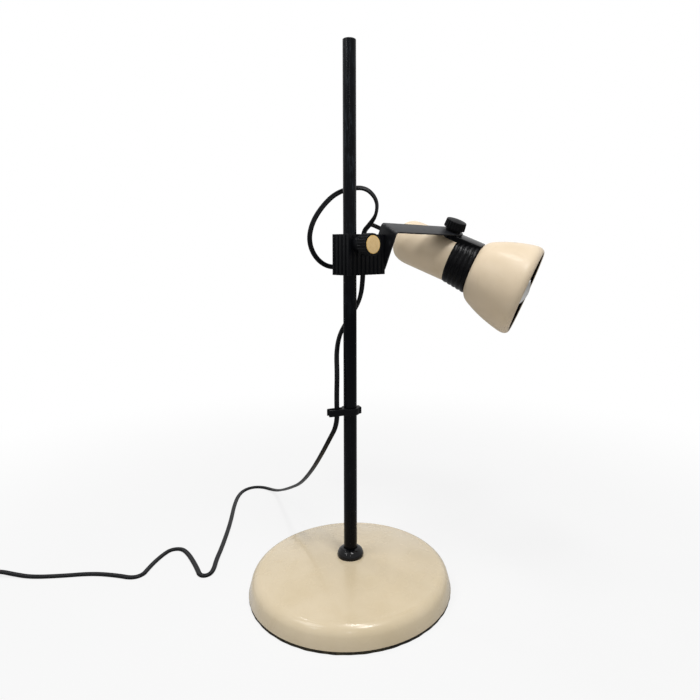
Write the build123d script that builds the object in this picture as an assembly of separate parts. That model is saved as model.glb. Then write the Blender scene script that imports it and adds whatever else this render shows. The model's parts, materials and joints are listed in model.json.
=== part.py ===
from build123d import *
import math
import os

# Desk spot lamp on a weighted round foot. Millimetres, +Z up, origin at the centre of the
# foot's underside. The lamp stands with its pole on the Z axis. A ribbed block clamps on the
# pole, a bent strip tilts on the block's end, and the head swivels under the strip's far end.

# ---------------------------------------------------------------- driving dimensions
# foot
FOOT_R = 108.0            # outer radius of the enamelled cover
FOOT_PAD_T = 2.6          # rubber pad under the foot
FOOT_PAD_INSET = 1.4      # pad edge inside the cover's edge
FOOT_SHOULDER = 22.4      # height at which the rounded rim ends
FOOT_EDGE_R = 12.0        # radius of the rounded rim
FOOT_CROWN = 34.5         # height of the crown at the pole
COVER_WALL = 1.2
WEIGHT_T = 14.0           # cast iron disc
WEIGHT_GAP = 1.4          # air between disc and cover wall

# pole and its fixing
POLE_R = 7.0
POLE_WALL = 1.0
POLE_TOP = 577.6          # top of the cap
CAP_CROWN = 1.2           # how much the cap's top is domed
CAP_EDGE = 0.8            # straight edge of the cap above the tube
CAP_STEM = 12.0
ROSETTE_R = 13.65
ROSETTE_H = 9.0
FOOT_BOLT_R = 4.0         # M8
FOOT_BOLT_HEAD_R = 7.0
FOOT_BOLT_HEAD_H = 5.3
FOOT_WASHER_R = 10.0
FOOT_WASHER_T = 1.6
SPACER_R = 9.0
INSERT_LENGTH = 22.0      # threaded plug in the pole's lower end

# clearances
FIT = 0.02                # pieces fixed to each other
RUNNING = 0.05            # pins, screws and sleeves that turn or slide
LOOSE = 0.3

# clamp block, in its own frame: x along the block, -y towards the knob, z up
CLAMP_TURN = 43.6         # degrees the block is turned about the pole
BLOCK_BOTTOM = 334.6
BLOCK_HEIGHT = 41.5
BLOCK_DEPTH = 26.0
BLOCK_NOSE = 11.1         # pole axis to the plain end
BLOCK_TAIL = 38.6         # pole axis to the end that carries the arm
RIB_PITCH = 5.8
GROOVE_WIDTH = 2.5
GROOVE_DEPTH = 1.1
BLOCK_CHAMFER = 0.7
LINER_WALL = 1.6
LINER_LIP = 2.0           # block left above and below the liner
LINER_SLIT = 1.2
CORD_HOLE_X = 18.3        # upright cord hole, on the block's middle plane
CORD_HOLE_R = 3.4

# clamp knob, along the axis that meets the pole at right angles
KNOB_BELOW_TOP = 9.6      # screw axis under the block's top
BOSS_R = 9.6
BOSS_LENGTH = 9.9
KNOB_GAP = 0.4
KNOB_R = 11.5
KNOB_LENGTH = 12.6
KNOB_RIBS = 22
KNOB_RIB_CUT_R = 0.95
KNOB_EDGE = 0.8
DISC_R = 9.3
DISC_T = 1.0
DISC_PROUD = 0.2
SCREW_R = 2.5             # M5
INSERT_R = 4.0            # brass insert
PAD_R = 3.4
PAD_T = 2.0
PAD_TRAVEL = 2.0
SCREW_IN_KNOB = 9.0

# arm
PIVOT_UP = 9.6            # pivot above the block's bottom
ARM_LEAN = 25.0           # degrees the upright leg leans towards the knob
ARM_DROOP = 1.1           # degrees the far leg bends past square
ARM_T = 1.5
ARM_WIDTH = 25.0
ARM_END = 9.4             # pivot to the upright leg's end
ARM_LEG = 44.1            # pivot to the far leg's middle plane
ARM_REACH = 107.7         # upright leg to the head's knob
ARM_BEND_R = 2.6          # to the strip's middle plane
PIVOT_R = 3.0             # M6
PIVOT_WASHER_R = 8.4
PIVOT_WASHER_T = 0.5
SPRING_WASHER_T = 0.6
PIVOT_HEAD_R = 5.4
PIVOT_HEAD_H = 3.6
NUT_FLATS = 10.0
NUT_T = 5.0
NUT_X = 25.0              # inner face of the captive nut
PIVOT_TIP = 23.6

# head, in its own frame: x forward along the lamp's beam, z towards the arm
HEAD_SWIVEL = 64.75       # degrees between the far leg and the beam
HEAD_DROP = 33.0          # strip's middle plane to the beam axis
BODY_R = 27.2
BODY_WALL = 1.0
BODY_NOSE = 36.0          # length of the rounded rear
BODY_STRAIGHT = 27.6      # knob axis to where the rear starts to round
BODY_FRONT = 19.3
COLLAR_BACK = 10.9
COLLAR_FRONT = 40.1
COLLAR_BACK_R = 27.8
COLLAR_FRONT_R = 31.0
COLLAR_RIBS = 5
COLLAR_GROOVE = 1.9       # radius of the rounded grooves between the ribs
COLLAR_STEP = 2.4         # inner shoulder between body and shade
TONGUE_WIDTH = 22.0
FRICTION_T = 0.8          # friction washer under the strip
FRICTION_R = 9.0
HUB_R = 5.4               # hub of the collar inside the body
HUB_BOTTOM = 20.6
SHADE_NECK_R = 28.0
SHADE_WALL = 1.2
SHADE_NECK_LENGTH = 15.0
SHADE_WIDE_R = 54.5
SHADE_MOUTH_R = 49.1
SHADE_WIDE_X = 97.6
SHADE_MOUTH_X = 106.9

# head knob
CAP_R = 12.0              # at the open end
CAP_TOP_R = 11.3
CAP_H = 9.0
CAP_DOME = 1.6
NECK_R = 8.4
NECK_H = 2.6
KNOB_WASHER_R = 9.2
KNOB_WASHER_T = 0.8

# lampholder and bulb, E27
HOLDER_R = 19.0
HOLDER_BACK = -10.0
HOLDER_FRONT = 33.0
HOLDER_BASE_T = 7.0
THREAD_R = 13.5
THREAD_WALL = 0.6
THREAD_BACK = 5.0
THREAD_LENGTH = 20.0
NIPPLE_R = 5.0
NIPPLE_BORE = 3.4
NIPPLE_BACK = -17.0
BRIDGE_T = 1.5
BRIDGE_WIDTH = 14.0
BRIDGE_FLANGE = 10.0
NIPPLE_NUT_R = 8.0
NIPPLE_NUT_T = 3.0
BULB_R = 30.0
BULB_TIP = 109.2
BULB_WALL = 0.8
BULB_NECK_R = 12.2
BULB_CAP_R = 13.1
BULB_CAP_BACK = 2.2
BULB_CAP_FRONT = 28.0
CONTACT_R = 4.6

# cord: twin flex, drawn round with the same section area
CORD_R = 2.2
GLAND_LENGTH = 14.0       # snout behind the body's rear
GLAND_BORE = 6.0          # how far the cord's free part reaches into the snout
GLAND_R = 4.6
GLAND_TIP_R = 3.2
GLAND_HOLE_R = 3.6
GLAND_FLANGE_R = 6.2
GLAND_FLANGE_T = 1.6

# cord clip on the pole
CLIP_Z = 191.0
CLIP_HEIGHT = 7.0
CLIP_WALL = 2.6
CLIP_TURN = 204.4         # direction of the cord slot about the pole
CLIP_REACH = 25.0
CLIP_SLOT = 5.0
CLIP_ARM_T = 2.1
CLIP_HOOK = 0.9
CLIP_TAB = 11.5

# cord switch, plug and coil, on the table
SWITCH_X = -398.0         # end that faces the lamp
SWITCH_LENGTH = 60.0
SWITCH_WIDTH = 25.0
SWITCH_HEIGHT = 15.0
SWITCH_SPLIT = 5.5        # height of the joint and of the cord
ROCKER_LENGTH = 17.0
ROCKER_WIDTH = 11.0
ROCKER_R = 13.0
ROCKER_AXLE_R = 1.2
COIL_CENTRE = (-497.0, 46.5)
COIL_R = 29.0
COIL_WIDTH = 12.0
COIL_HEIGHT = 7.0
TIE_T = 0.8
TIE_WIDTH = 3.6
TIE_GAP = 0.2
TIE_ANGLE = -30.0
PLUG_START = 84.0         # where the plug's strain relief begins, along Y
PLUG_RELIEF = 24.0
PLUG_LENGTH = 32.0
PLUG_WIDTH = 34.0
PLUG_HEIGHT = 14.0
PIN_R = 2.0
PIN_LENGTH = 19.0
PIN_SPACING = 18.8

BASE = (Align.CENTER, Align.CENTER, Align.MIN)

# ---------------------------------------------------------------- derived frames and heights
BLOCK_TOP = BLOCK_BOTTOM + BLOCK_HEIGHT
BLOCK_HALF = BLOCK_DEPTH / 2
LEG_X = BLOCK_TAIL + PIVOT_WASHER_T + ARM_T / 2
LUG_TOP = HEAD_DROP - ARM_T / 2 - FRICTION_T - RUNNING
BODY_REAR = -(BODY_STRAIGHT + BODY_NOSE)
LINER_R = POLE_R + RUNNING + LINER_WALL

clamp_frame = Location((0, 0, 0), (0, 0, CLAMP_TURN))
screw_frame = clamp_frame * Pos(0, 0, BLOCK_TOP - KNOB_BELOW_TOP) * Rot(90, 0, 0)
pivot_frame = clamp_frame * Pos(0, 0, BLOCK_BOTTOM + PIVOT_UP)
arm_frame = pivot_frame * Rot(ARM_LEAN, 0, 0)
hinge_frame = arm_frame * Pos(LEG_X, 0, ARM_LEG) * Rot(0, ARM_DROOP, 0) * Pos(ARM_REACH, 0, 0)
head_frame = hinge_frame * Pos(0, 0, -HEAD_DROP) * Rot(0, 0, -HEAD_SWIVEL)

os.makedirs("parts", exist_ok=True)


def save(node, shape):
    export_step(shape, f"parts/{node}.step")


# ---------------------------------------------------------------- shape helpers
def spin(profile):
    """Solid turned about Z from a closed profile of (radius, height)."""
    return revolve(Plane.XZ * profile, Axis.Z)


def spin_x(profile):
    """Solid turned about X from a closed profile of (length, radius)."""
    return revolve(profile, Axis.X)


def outline(*points):
    return make_face(Polyline(*points, close=True))


def tube(outer, inner, low, high):
    """Upright ring between two heights."""
    height = high - low
    return Pos(0, 0, low) * (Cylinder(outer, height, align=BASE) - Cylinder(inner, height, align=BASE))


def rod(radius, low, high):
    return Pos(0, 0, low) * Cylinder(radius, high - low, align=BASE)


def rod_x(radius, back, front):
    return Rot(0, 90, 0) * rod(radius, back, front)


def tube_x(outer, inner, back, front):
    return Rot(0, 90, 0) * tube(outer, inner, back, front)


def hexagon(flats, low, high):
    return Pos(0, 0, low) * extrude(RegularPolygon(flats / math.sqrt(3), 6), high - low)


# ---------------------------------------------------------------- foot
def crown_height(radius):
    """Height of the crown's outside at a distance from the pole axis."""
    edge = FOOT_R - FOOT_EDGE_R
    rise = FOOT_CROWN - FOOT_SHOULDER
    ball = (edge**2 + rise**2) / (2 * rise)
    return FOOT_CROWN - ball + math.sqrt(ball**2 - radius**2)


def cover_profile(inset):
    """Half section of the foot's outside, moved inwards by inset."""
    side = FOOT_R - inset
    top = FOOT_SHOULDER - inset
    edge = FOOT_EDGE_R - inset
    flat = side - edge
    turn = edge * math.sin(math.radians(45))
    rim = ThreePointArc((side, top - edge), (flat + turn, top - edge + turn), (flat, top))
    half = crown_height(flat / 2) - inset
    crown = ThreePointArc((flat, top), (flat / 2, half), (0, FOOT_CROWN - inset))
    sides = Polyline((0, FOOT_CROWN - inset), (0, FOOT_PAD_T), (side, FOOT_PAD_T), (side, top - edge))
    return make_face(rim + crown + sides)


def base_cover():
    shell = spin(cover_profile(0)) - spin(cover_profile(COVER_WALL))
    return shell - rod(FOOT_BOLT_R + LOOSE, 0, FOOT_CROWN + 1)


def base_weight():
    radius = FOOT_R - COVER_WALL - WEIGHT_GAP
    disc = rod(radius, FOOT_PAD_T, FOOT_PAD_T + WEIGHT_T)
    disc = chamfer(disc.edges().group_by(Axis.Z)[-1], 3.0)
    disc -= rod(FOOT_BOLT_R + LOOSE, 0, FOOT_CROWN)
    return disc - rod(FOOT_WASHER_R + 1, 0, WASHER_TOP)


def base_pad():
    return rod(FOOT_R - FOOT_PAD_INSET, 0, FOOT_PAD_T)


WASHER_TOP = FOOT_PAD_T + LOOSE + FOOT_BOLT_HEAD_H + FOOT_WASHER_T


def foot_washer():
    return tube(FOOT_WASHER_R, FOOT_BOLT_R + LOOSE, WASHER_TOP - FOOT_WASHER_T, WASHER_TOP)


def foot_bolt():
    seat = WASHER_TOP - FOOT_WASHER_T
    head = hexagon(2 * FOOT_BOLT_HEAD_R - 1, seat - FOOT_BOLT_HEAD_H, seat)
    return head + rod(FOOT_BOLT_R, seat, FOOT_CROWN + INSERT_LENGTH - 4)


def foot_spacer():
    low = FOOT_PAD_T + WEIGHT_T
    high = crown_height(SPACER_R) - COVER_WALL
    return tube(SPACER_R, FOOT_BOLT_R + LOOSE, low, high)


# ---------------------------------------------------------------- pole
def pole_tube():
    return tube(POLE_R, POLE_R - POLE_WALL, FOOT_CROWN, POLE_TOP - CAP_CROWN - CAP_EDGE)


def pole_insert():
    inner = POLE_R - POLE_WALL - FIT
    return tube(inner, FOOT_BOLT_R + FIT, FOOT_CROWN, FOOT_CROWN + INSERT_LENGTH)


def pole_cap():
    """Plastic plug: a stem in the tube and a gently domed top, flush with the tube."""
    seat = POLE_TOP - CAP_CROWN - CAP_EDGE
    stem = POLE_R - POLE_WALL - FIT
    dome = ThreePointArc((0, POLE_TOP), (POLE_R * 0.55, POLE_TOP - CAP_CROWN * 0.3),
                         (POLE_R, POLE_TOP - CAP_CROWN))
    sides = Polyline((POLE_R, POLE_TOP - CAP_CROWN), (POLE_R, seat), (stem, seat),
                     (stem, seat - CAP_STEM), (0, seat - CAP_STEM), (0, POLE_TOP))
    return spin(make_face(dome + sides))


def pole_rosette():
    """Domed collar that hides the joint of pole and foot."""
    seat = crown_height(ROSETTE_R) + FIT
    bore = POLE_R + FIT
    top = seat + ROSETTE_H
    lip = 1.2
    dome = ThreePointArc((ROSETTE_R, seat + lip), (ROSETTE_R * 0.84, seat + ROSETTE_H * 0.68),
                         (bore + lip, top))
    sides = Polyline((bore + lip, top), (bore, top), (bore, crown_height(bore) + FIT), (ROSETTE_R, seat),
                     (ROSETTE_R, seat + lip))
    return spin(make_face(dome + sides))


# ---------------------------------------------------------------- cord clip
def cord_clip():
    """Push-on clip: a ring round the pole and two springy arms that hold the cord between them."""
    low, high = -CLIP_HEIGHT / 2, CLIP_HEIGHT / 2
    ring_r = POLE_R + RUNNING + CLIP_WALL
    ring = rod(ring_r, low, high)
    half = CLIP_SLOT / 2 + CLIP_ARM_T
    arms = Box(CLIP_REACH, 2 * half, CLIP_HEIGHT, align=(Align.MIN, Align.CENTER, Align.CENTER))
    arms = fillet(arms.edges().filter_by(Axis.Z).group_by(Axis.X)[-1], CLIP_ARM_T)
    tab = Box(CLIP_TAB, ring_r, CLIP_HEIGHT * 0.8, align=(Align.MAX, Align.CENTER, Align.CENTER))
    body = ring + arms + tab
    slot_back = ring_r - 0.4
    slot = Pos(slot_back, 0, 0) * Box(CLIP_REACH, CLIP_SLOT, CLIP_HEIGHT + 2,
                                      align=(Align.MIN, Align.CENTER, Align.CENTER))
    body -= slot
    for side in (-1, 1):
        hook_y = side * CLIP_SLOT / 2
        body += Pos(CLIP_REACH - CLIP_ARM_T, hook_y, low) * Cylinder(CLIP_HOOK, CLIP_HEIGHT, align=BASE)
    body -= rod(POLE_R + RUNNING, low - 1, high + 1)
    return Pos(0, 0, CLIP_Z) * Rot(0, 0, CLIP_TURN) * body


# ---------------------------------------------------------------- clamp
def rib_grooves():
    """Upright grooves that leave flat ribs on the front, the back and the plain end."""
    cut = Box(GROOVE_WIDTH, 2 * GROOVE_DEPTH, BLOCK_HEIGHT + 2)
    cut = chamfer(cut.edges().filter_by(Axis.Z), GROOVE_DEPTH * 0.45)
    length = BLOCK_NOSE + BLOCK_TAIL
    along = int((length - GROOVE_WIDTH) / RIB_PITCH)
    across = int((BLOCK_DEPTH - GROOVE_WIDTH) / RIB_PITCH)
    grooves = []
    for i in range(along):
        x = -BLOCK_NOSE + length / 2 + (i - (along - 1) / 2) * RIB_PITCH
        grooves.append(Pos(x, -BLOCK_HALF, 0) * cut)
        grooves.append(Pos(x, BLOCK_HALF, 0) * cut)
    for i in range(across):
        y = (i - (across - 1) / 2) * RIB_PITCH
        grooves.append(Pos(-BLOCK_NOSE, y, 0) * Rot(0, 0, 90) * cut)
    return grooves


def clamp_block():
    length = BLOCK_NOSE + BLOCK_TAIL
    middle = BLOCK_BOTTOM + BLOCK_HEIGHT / 2
    body = Pos((BLOCK_TAIL - BLOCK_NOSE) / 2, 0, 0) * Box(length, BLOCK_DEPTH, BLOCK_HEIGHT)
    body = chamfer(body.edges().filter_by(Axis.Z, reverse=True), BLOCK_CHAMFER)
    for groove in rib_grooves():
        body -= groove
    body = Pos(0, 0, middle) * body
    screw_z = BLOCK_TOP - KNOB_BELOW_TOP
    body += Pos(0, 0, screw_z) * Rot(90, 0, 0) * rod(BOSS_R, LINER_R, BLOCK_HALF + BOSS_LENGTH)
    body -= rod(POLE_R + LOOSE, BLOCK_BOTTOM - 1, BLOCK_TOP + 1)
    body -= rod(LINER_R + RUNNING, BLOCK_BOTTOM + LINER_LIP, BLOCK_TOP - LINER_LIP)
    body -= Pos(CORD_HOLE_X, 0, 0) * rod(CORD_HOLE_R, BLOCK_BOTTOM - 1, BLOCK_TOP + 1)
    pad_end = LINER_R + RUNNING + PAD_T + PAD_TRAVEL
    screw = Pos(0, 0, screw_z) * Rot(90, 0, 0)
    body -= screw * rod(PAD_R + RUNNING, 0, pad_end)
    body -= screw * rod(INSERT_R + FIT, pad_end, BLOCK_HALF + BOSS_LENGTH + 1)
    pivot = Pos(0, 0, BLOCK_BOTTOM + PIVOT_UP)
    body -= pivot * rod_x(PIVOT_R + FIT, PIVOT_TIP - 1, BLOCK_TAIL + 1)
    corner = NUT_FLATS / math.sqrt(3) + FIT
    pocket = Box(NUT_T + 2 * FIT, corner + BLOCK_DEPTH, NUT_FLATS + 2 * FIT,
                 align=(Align.MIN, Align.MIN, Align.CENTER))
    body -= pivot * Pos(NUT_X - FIT, -corner, 0) * pocket
    return clamp_frame * body


def clamp_liner():
    """Slit nylon sleeve between pole and block; the block turns on it and it slides on the pole."""
    low = BLOCK_BOTTOM + LINER_LIP + RUNNING
    high = BLOCK_TOP - LINER_LIP - RUNNING
    sleeve = tube(LINER_R, POLE_R + RUNNING, low, high)
    slit = Pos(0, LINER_R, (low + high) / 2) * Box(LINER_SLIT, 2 * LINER_R, high - low + 2)
    return clamp_frame * (sleeve - slit)


def pad_start():
    return LINER_R + RUNNING


def clamp_pad():
    """Pressure pad whose hollow face fits the liner."""
    pad = rod(PAD_R, LINER_R - 1.5, pad_start() + PAD_T)
    hollow = Rot(-90, 0, 0) * Cylinder(LINER_R + RUNNING, 4 * PAD_R)
    return screw_frame * (pad - hollow)


def clamp_insert():
    start = LINER_R + RUNNING + PAD_T + PAD_TRAVEL
    return screw_frame * tube(INSERT_R, SCREW_R + RUNNING, start, BLOCK_HALF + BOSS_LENGTH)


def knob_start():
    return BLOCK_HALF + BOSS_LENGTH + KNOB_GAP


def clamp_screw():
    start = pad_start() + PAD_T + FIT
    screw = rod(SCREW_R, start, knob_start() + SCREW_IN_KNOB)
    return screw_frame * chamfer(screw.edges().group_by(Axis.Z)[0], 0.5)


def ribbed(body, radius, low, high, count):
    """Body with rounded upright flutes cut round it."""
    for i in range(count):
        angle = 360 * i / count
        body -= Rot(0, 0, angle) * Pos(radius + KNOB_RIB_CUT_R * 0.35, 0, 0) * rod(KNOB_RIB_CUT_R, low, high)
    return body


def clamp_knob():
    start = knob_start()
    end = start + KNOB_LENGTH
    knob = spin(outline((0, start), (KNOB_R - KNOB_EDGE, start), (KNOB_R, start + KNOB_EDGE),
                        (KNOB_R, end - KNOB_EDGE), (KNOB_R - KNOB_EDGE * 0.5, end), (0, end)))
    knob = ribbed(knob, KNOB_R, start - 1, end - KNOB_EDGE, KNOB_RIBS)
    knob -= rod(DISC_R + FIT, end - DISC_T + DISC_PROUD, end + 1)
    knob -= rod(SCREW_R + FIT, start - 1, start + SCREW_IN_KNOB + FIT)
    return screw_frame * knob


def clamp_knob_disc():
    end = knob_start() + KNOB_LENGTH
    disc = rod(DISC_R, end - DISC_T + DISC_PROUD, end + DISC_PROUD)
    return screw_frame * chamfer(disc.edges().group_by(Axis.Z)[-1], 0.3)


# ---------------------------------------------------------------- arm pivot
def pivot_washer():
    return pivot_frame * tube_x(PIVOT_WASHER_R, PIVOT_R + RUNNING, BLOCK_TAIL, BLOCK_TAIL + PIVOT_WASHER_T)


STRIP_OUT = LEG_X + ARM_T / 2


def pivot_spring_washer():
    return pivot_frame * tube_x(PIVOT_HEAD_R + 0.8, PIVOT_R + RUNNING, STRIP_OUT, STRIP_OUT + SPRING_WASHER_T)


def pivot_bolt():
    """Mushroom-headed bolt with a screwdriver slot."""
    seat = STRIP_OUT + SPRING_WASHER_T
    head = spin_x(make_face(
        ThreePointArc((seat + PIVOT_HEAD_H, 0), (seat + PIVOT_HEAD_H * 0.72, PIVOT_HEAD_R * 0.72),
                      (seat + 0.8, PIVOT_HEAD_R))
        + Polyline((seat + 0.8, PIVOT_HEAD_R), (seat, PIVOT_HEAD_R), (seat, 0), (seat + PIVOT_HEAD_H, 0))))
    head -= Pos(seat + PIVOT_HEAD_H, 0, 0) * Box(2.4, 1.3, 4 * PIVOT_HEAD_R)
    return pivot_frame * (head + rod_x(PIVOT_R, PIVOT_TIP, seat))


def pivot_nut():
    nut = hexagon(NUT_FLATS, NUT_X, NUT_X + NUT_T) - rod(PIVOT_R + FIT, NUT_X - 1, NUT_X + NUT_T + 1)
    return pivot_frame * Rot(0, 90, 0) * Rot(0, 0, 30) * nut


# ---------------------------------------------------------------- arm
def arm_strip():
    """Flat strip bent once, with both ends rounded about their holes."""
    half = ARM_WIDTH / 2
    droop = math.radians(ARM_DROOP)
    reach = ARM_REACH + half
    end = (LEG_X + reach * math.cos(droop), ARM_LEG - reach * math.sin(droop))
    line = FilletPolyline((LEG_X, -ARM_END), (LEG_X, ARM_LEG), end, radius=ARM_BEND_R)
    strip = extrude(Plane.XZ * trace(line, ARM_T), half, both=True)
    leg_mask = Rot(0, 90, 0) * Cylinder(half, 8 * LEG_X)
    above = Box(4 * reach, 2 * ARM_WIDTH, 4 * reach, align=(Align.CENTER, Align.CENTER, Align.MIN))
    strip &= Pos(0, 0, half - ARM_END) * (above + leg_mask)
    hinge = Pos(LEG_X, 0, ARM_LEG) * Rot(0, ARM_DROOP, 0) * Pos(ARM_REACH, 0, 0)
    tip_mask = Cylinder(half, 4 * ARM_T)
    behind = Box(2 * reach, 2 * ARM_WIDTH, 4 * reach, align=(Align.MAX, Align.CENTER, Align.CENTER))
    strip &= hinge * (behind + tip_mask)
    strip -= rod_x(PIVOT_R + RUNNING, 0, LEG_X + 5)
    strip -= hinge * Cylinder(SCREW_R + RUNNING, 4 * ARM_T)
    return arm_frame * strip


# ---------------------------------------------------------------- head knob
WASHER_LOW = ARM_T / 2


def head_knob_washer():
    return hinge_frame * tube(KNOB_WASHER_R, SCREW_R + RUNNING, WASHER_LOW, WASHER_LOW + KNOB_WASHER_T)


def head_knob():
    """Knob with a narrow neck, a wider fluted cap and a softly domed top."""
    foot = WASHER_LOW + KNOB_WASHER_T
    rim = foot + NECK_H
    top = rim + CAP_H
    cap = spin(outline((0, rim), (CAP_R, rim), (CAP_TOP_R, top), (0, top)))
    cap = ribbed(cap, CAP_R, rim - 1, top - KNOB_EDGE, KNOB_RIBS)
    ball = (CAP_TOP_R**2 + CAP_DOME**2) / (2 * CAP_DOME)
    dome = Pos(0, 0, top + CAP_DOME - ball) * Sphere(ball)
    dome &= rod(CAP_TOP_R, top, top + 2 * CAP_DOME)
    knob = cap + dome + rod(NECK_R, foot, rim)
    knob -= rod(SCREW_R + FIT, foot - 1, foot + SCREW_IN_KNOB + FIT)
    return hinge_frame * knob


def head_screw():
    low = HUB_BOTTOM + 1.5 - HEAD_DROP
    screw = rod(SCREW_R, low, WASHER_LOW + KNOB_WASHER_T + SCREW_IN_KNOB)
    return hinge_frame * chamfer(screw.edges().group_by(Axis.Z)[0], 0.5)


def head_insert():
    return head_frame * tube(INSERT_R, SCREW_R + RUNNING, HUB_BOTTOM, LUG_TOP - 0.5)


def friction_washer():
    return head_frame * tube(FRICTION_R, SCREW_R + RUNNING, LUG_TOP, LUG_TOP + FRICTION_T)


# ---------------------------------------------------------------- head shells
def bullet(inset):
    """Rounded rear and straight front of the body, moved inwards by inset."""
    radius = BODY_R - inset
    rear = BODY_REAR + inset
    arc = EllipticalCenterArc((-BODY_STRAIGHT, 0), BODY_NOSE - inset, radius, start_angle=90, arc_size=90)
    sides = Polyline((rear, 0), (BODY_FRONT + inset, 0), (BODY_FRONT + inset, radius),
                     (-BODY_STRAIGHT, radius))
    return spin_x(make_face(arc + sides))


def head_body():
    shell = bullet(0) - bullet(BODY_WALL) - rod_x(BODY_R - BODY_WALL, BODY_FRONT - 4, BODY_FRONT + 4)
    shell -= rod_x(GLAND_HOLE_R + FIT, BODY_REAR - 2, BODY_REAR + 6)
    shell -= rod(HUB_R + FIT, 0, BODY_R + 2)
    return head_frame * shell


def collar_radius(x):
    share = (x - COLLAR_BACK) / (COLLAR_FRONT - COLLAR_BACK)
    return COLLAR_BACK_R + share * (COLLAR_FRONT_R - COLLAR_BACK_R)


def head_collar():
    """Ribbed ring that joins body and shade, with a flat-topped tongue under the arm."""
    ring = spin_x(outline((COLLAR_BACK, 0), (COLLAR_BACK, COLLAR_BACK_R), (COLLAR_FRONT, COLLAR_FRONT_R),
                          (COLLAR_FRONT, 0)))
    pitch = (COLLAR_FRONT - COLLAR_BACK) / COLLAR_RIBS
    for i in range(1, COLLAR_RIBS):
        x = COLLAR_BACK + i * pitch
        groove = Torus(collar_radius(x) + COLLAR_GROOVE * 0.35, COLLAR_GROOVE)
        ring -= Pos(x, 0, 0) * Rot(0, 90, 0) * groove
    half = TONGUE_WIDTH / 2
    tongue = Box(COLLAR_FRONT, TONGUE_WIDTH, LUG_TOP, align=(Align.MIN, Align.CENTER, Align.MIN))
    tongue += rod(half, 0, LUG_TOP)
    tongue = fillet(tongue.edges().group_by(Axis.Z)[-1], 1.2)
    body = ring + tongue
    body -= rod_x(BODY_R + FIT, -2 * half, BODY_FRONT + FIT)
    body -= rod_x(BODY_R - BODY_WALL, 0, COLLAR_FRONT)
    body -= rod_x(SHADE_NECK_R + FIT, BODY_FRONT + COLLAR_STEP, COLLAR_FRONT + 1)
    body -= Box(4 * BODY_R, 4 * BODY_R, 4 * BODY_R, align=(Align.CENTER, Align.CENTER, Align.MAX)) \
        & Pos(-COLLAR_BACK, 0, 0) * Box(4 * COLLAR_BACK, 4 * BODY_R, 4 * BODY_R)
    body += rod(HUB_R, HUB_BOTTOM, LUG_TOP - 1)
    body -= rod(INSERT_R + FIT, HUB_BOTTOM - 1, LUG_TOP - 0.5)
    body -= rod(SCREW_R + RUNNING, HUB_BOTTOM, LUG_TOP + 1)
    return head_frame * body


# outside of the shade from the collar to its widest ring, as (length, radius)
SHADE_CURVE = [(COLLAR_FRONT + 0.6, COLLAR_FRONT_R - 0.4), (47.1, 37.9), (62.7, 45.1), (80.1, 51.1),
               (SHADE_WIDE_X, SHADE_WIDE_R)]


def shade_side(inset):
    """Bell curve and rolled lip of the shade, moved inwards by inset."""
    x0, r0 = SHADE_CURVE[0]
    points = [(x0 + inset, r0 - inset * 0.3)]
    points += [(x + inset * 0.45, r - inset * 0.9) for x, r in SHADE_CURVE[1:-1]]
    points += [(SHADE_WIDE_X, SHADE_WIDE_R - inset)]
    bell = Spline(*points, tangents=[(0.35, 1), (1, 0)])
    mouth = (SHADE_MOUTH_X - inset, SHADE_MOUTH_R)
    bulge = (SHADE_WIDE_X + 6.6 - inset * 0.6, SHADE_WIDE_R - 1.5 - inset * 0.8)
    return bell, ThreePointArc(points[-1], bulge, mouth)


def shade():
    """Spun metal bell with a neck in the collar and a rolled-in mouth."""
    outer, outer_lip = shade_side(0)
    inner, inner_lip = shade_side(SHADE_WALL)
    back = COLLAR_FRONT + 0.6 - SHADE_NECK_LENGTH
    neck_in = SHADE_NECK_R - SHADE_WALL
    step = outer @ 0
    inside = inner @ 0
    sides = Polyline((step.X, step.Y), (step.X, SHADE_NECK_R), (back, SHADE_NECK_R), (back, neck_in),
                     (inside.X, neck_in), (inside.X, inside.Y))
    mouth = Line(outer_lip @ 1, inner_lip @ 1)
    return head_frame * spin_x(make_face(outer + outer_lip + mouth + inner_lip + inner + sides))


# ---------------------------------------------------------------- lampholder
def holder_bridge():
    """Steel strap across the body with its ends bent forward along the wall."""
    inner = BODY_R - BODY_WALL - FIT
    face = HOLDER_BACK
    strap = Pos(face, 0, 0) * Box(BRIDGE_T, 2 * inner, BRIDGE_WIDTH, align=(Align.MAX, Align.CENTER, Align.CENTER))
    flange = tube_x(inner, inner - BRIDGE_T, face - BRIDGE_T, face + BRIDGE_FLANGE)
    flange &= Box(400, 400, BRIDGE_WIDTH)
    strap = (strap & rod_x(inner, face - BRIDGE_T, face)) + flange
    return head_frame * (strap - rod_x(NIPPLE_R + FIT, face - 5, face + 5))


def holder_nipple():
    return head_frame * tube_x(NIPPLE_R, NIPPLE_BORE, NIPPLE_BACK, HOLDER_BACK + HOLDER_BASE_T - 2)


def nipple_nut():
    back = HOLDER_BACK - BRIDGE_T - NIPPLE_NUT_T
    nut = hexagon(2 * NIPPLE_NUT_R - 2, back, back + NIPPLE_NUT_T) - rod(NIPPLE_R + FIT, back - 1, 0)
    return head_frame * Rot(0, 90, 0) * nut


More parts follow.
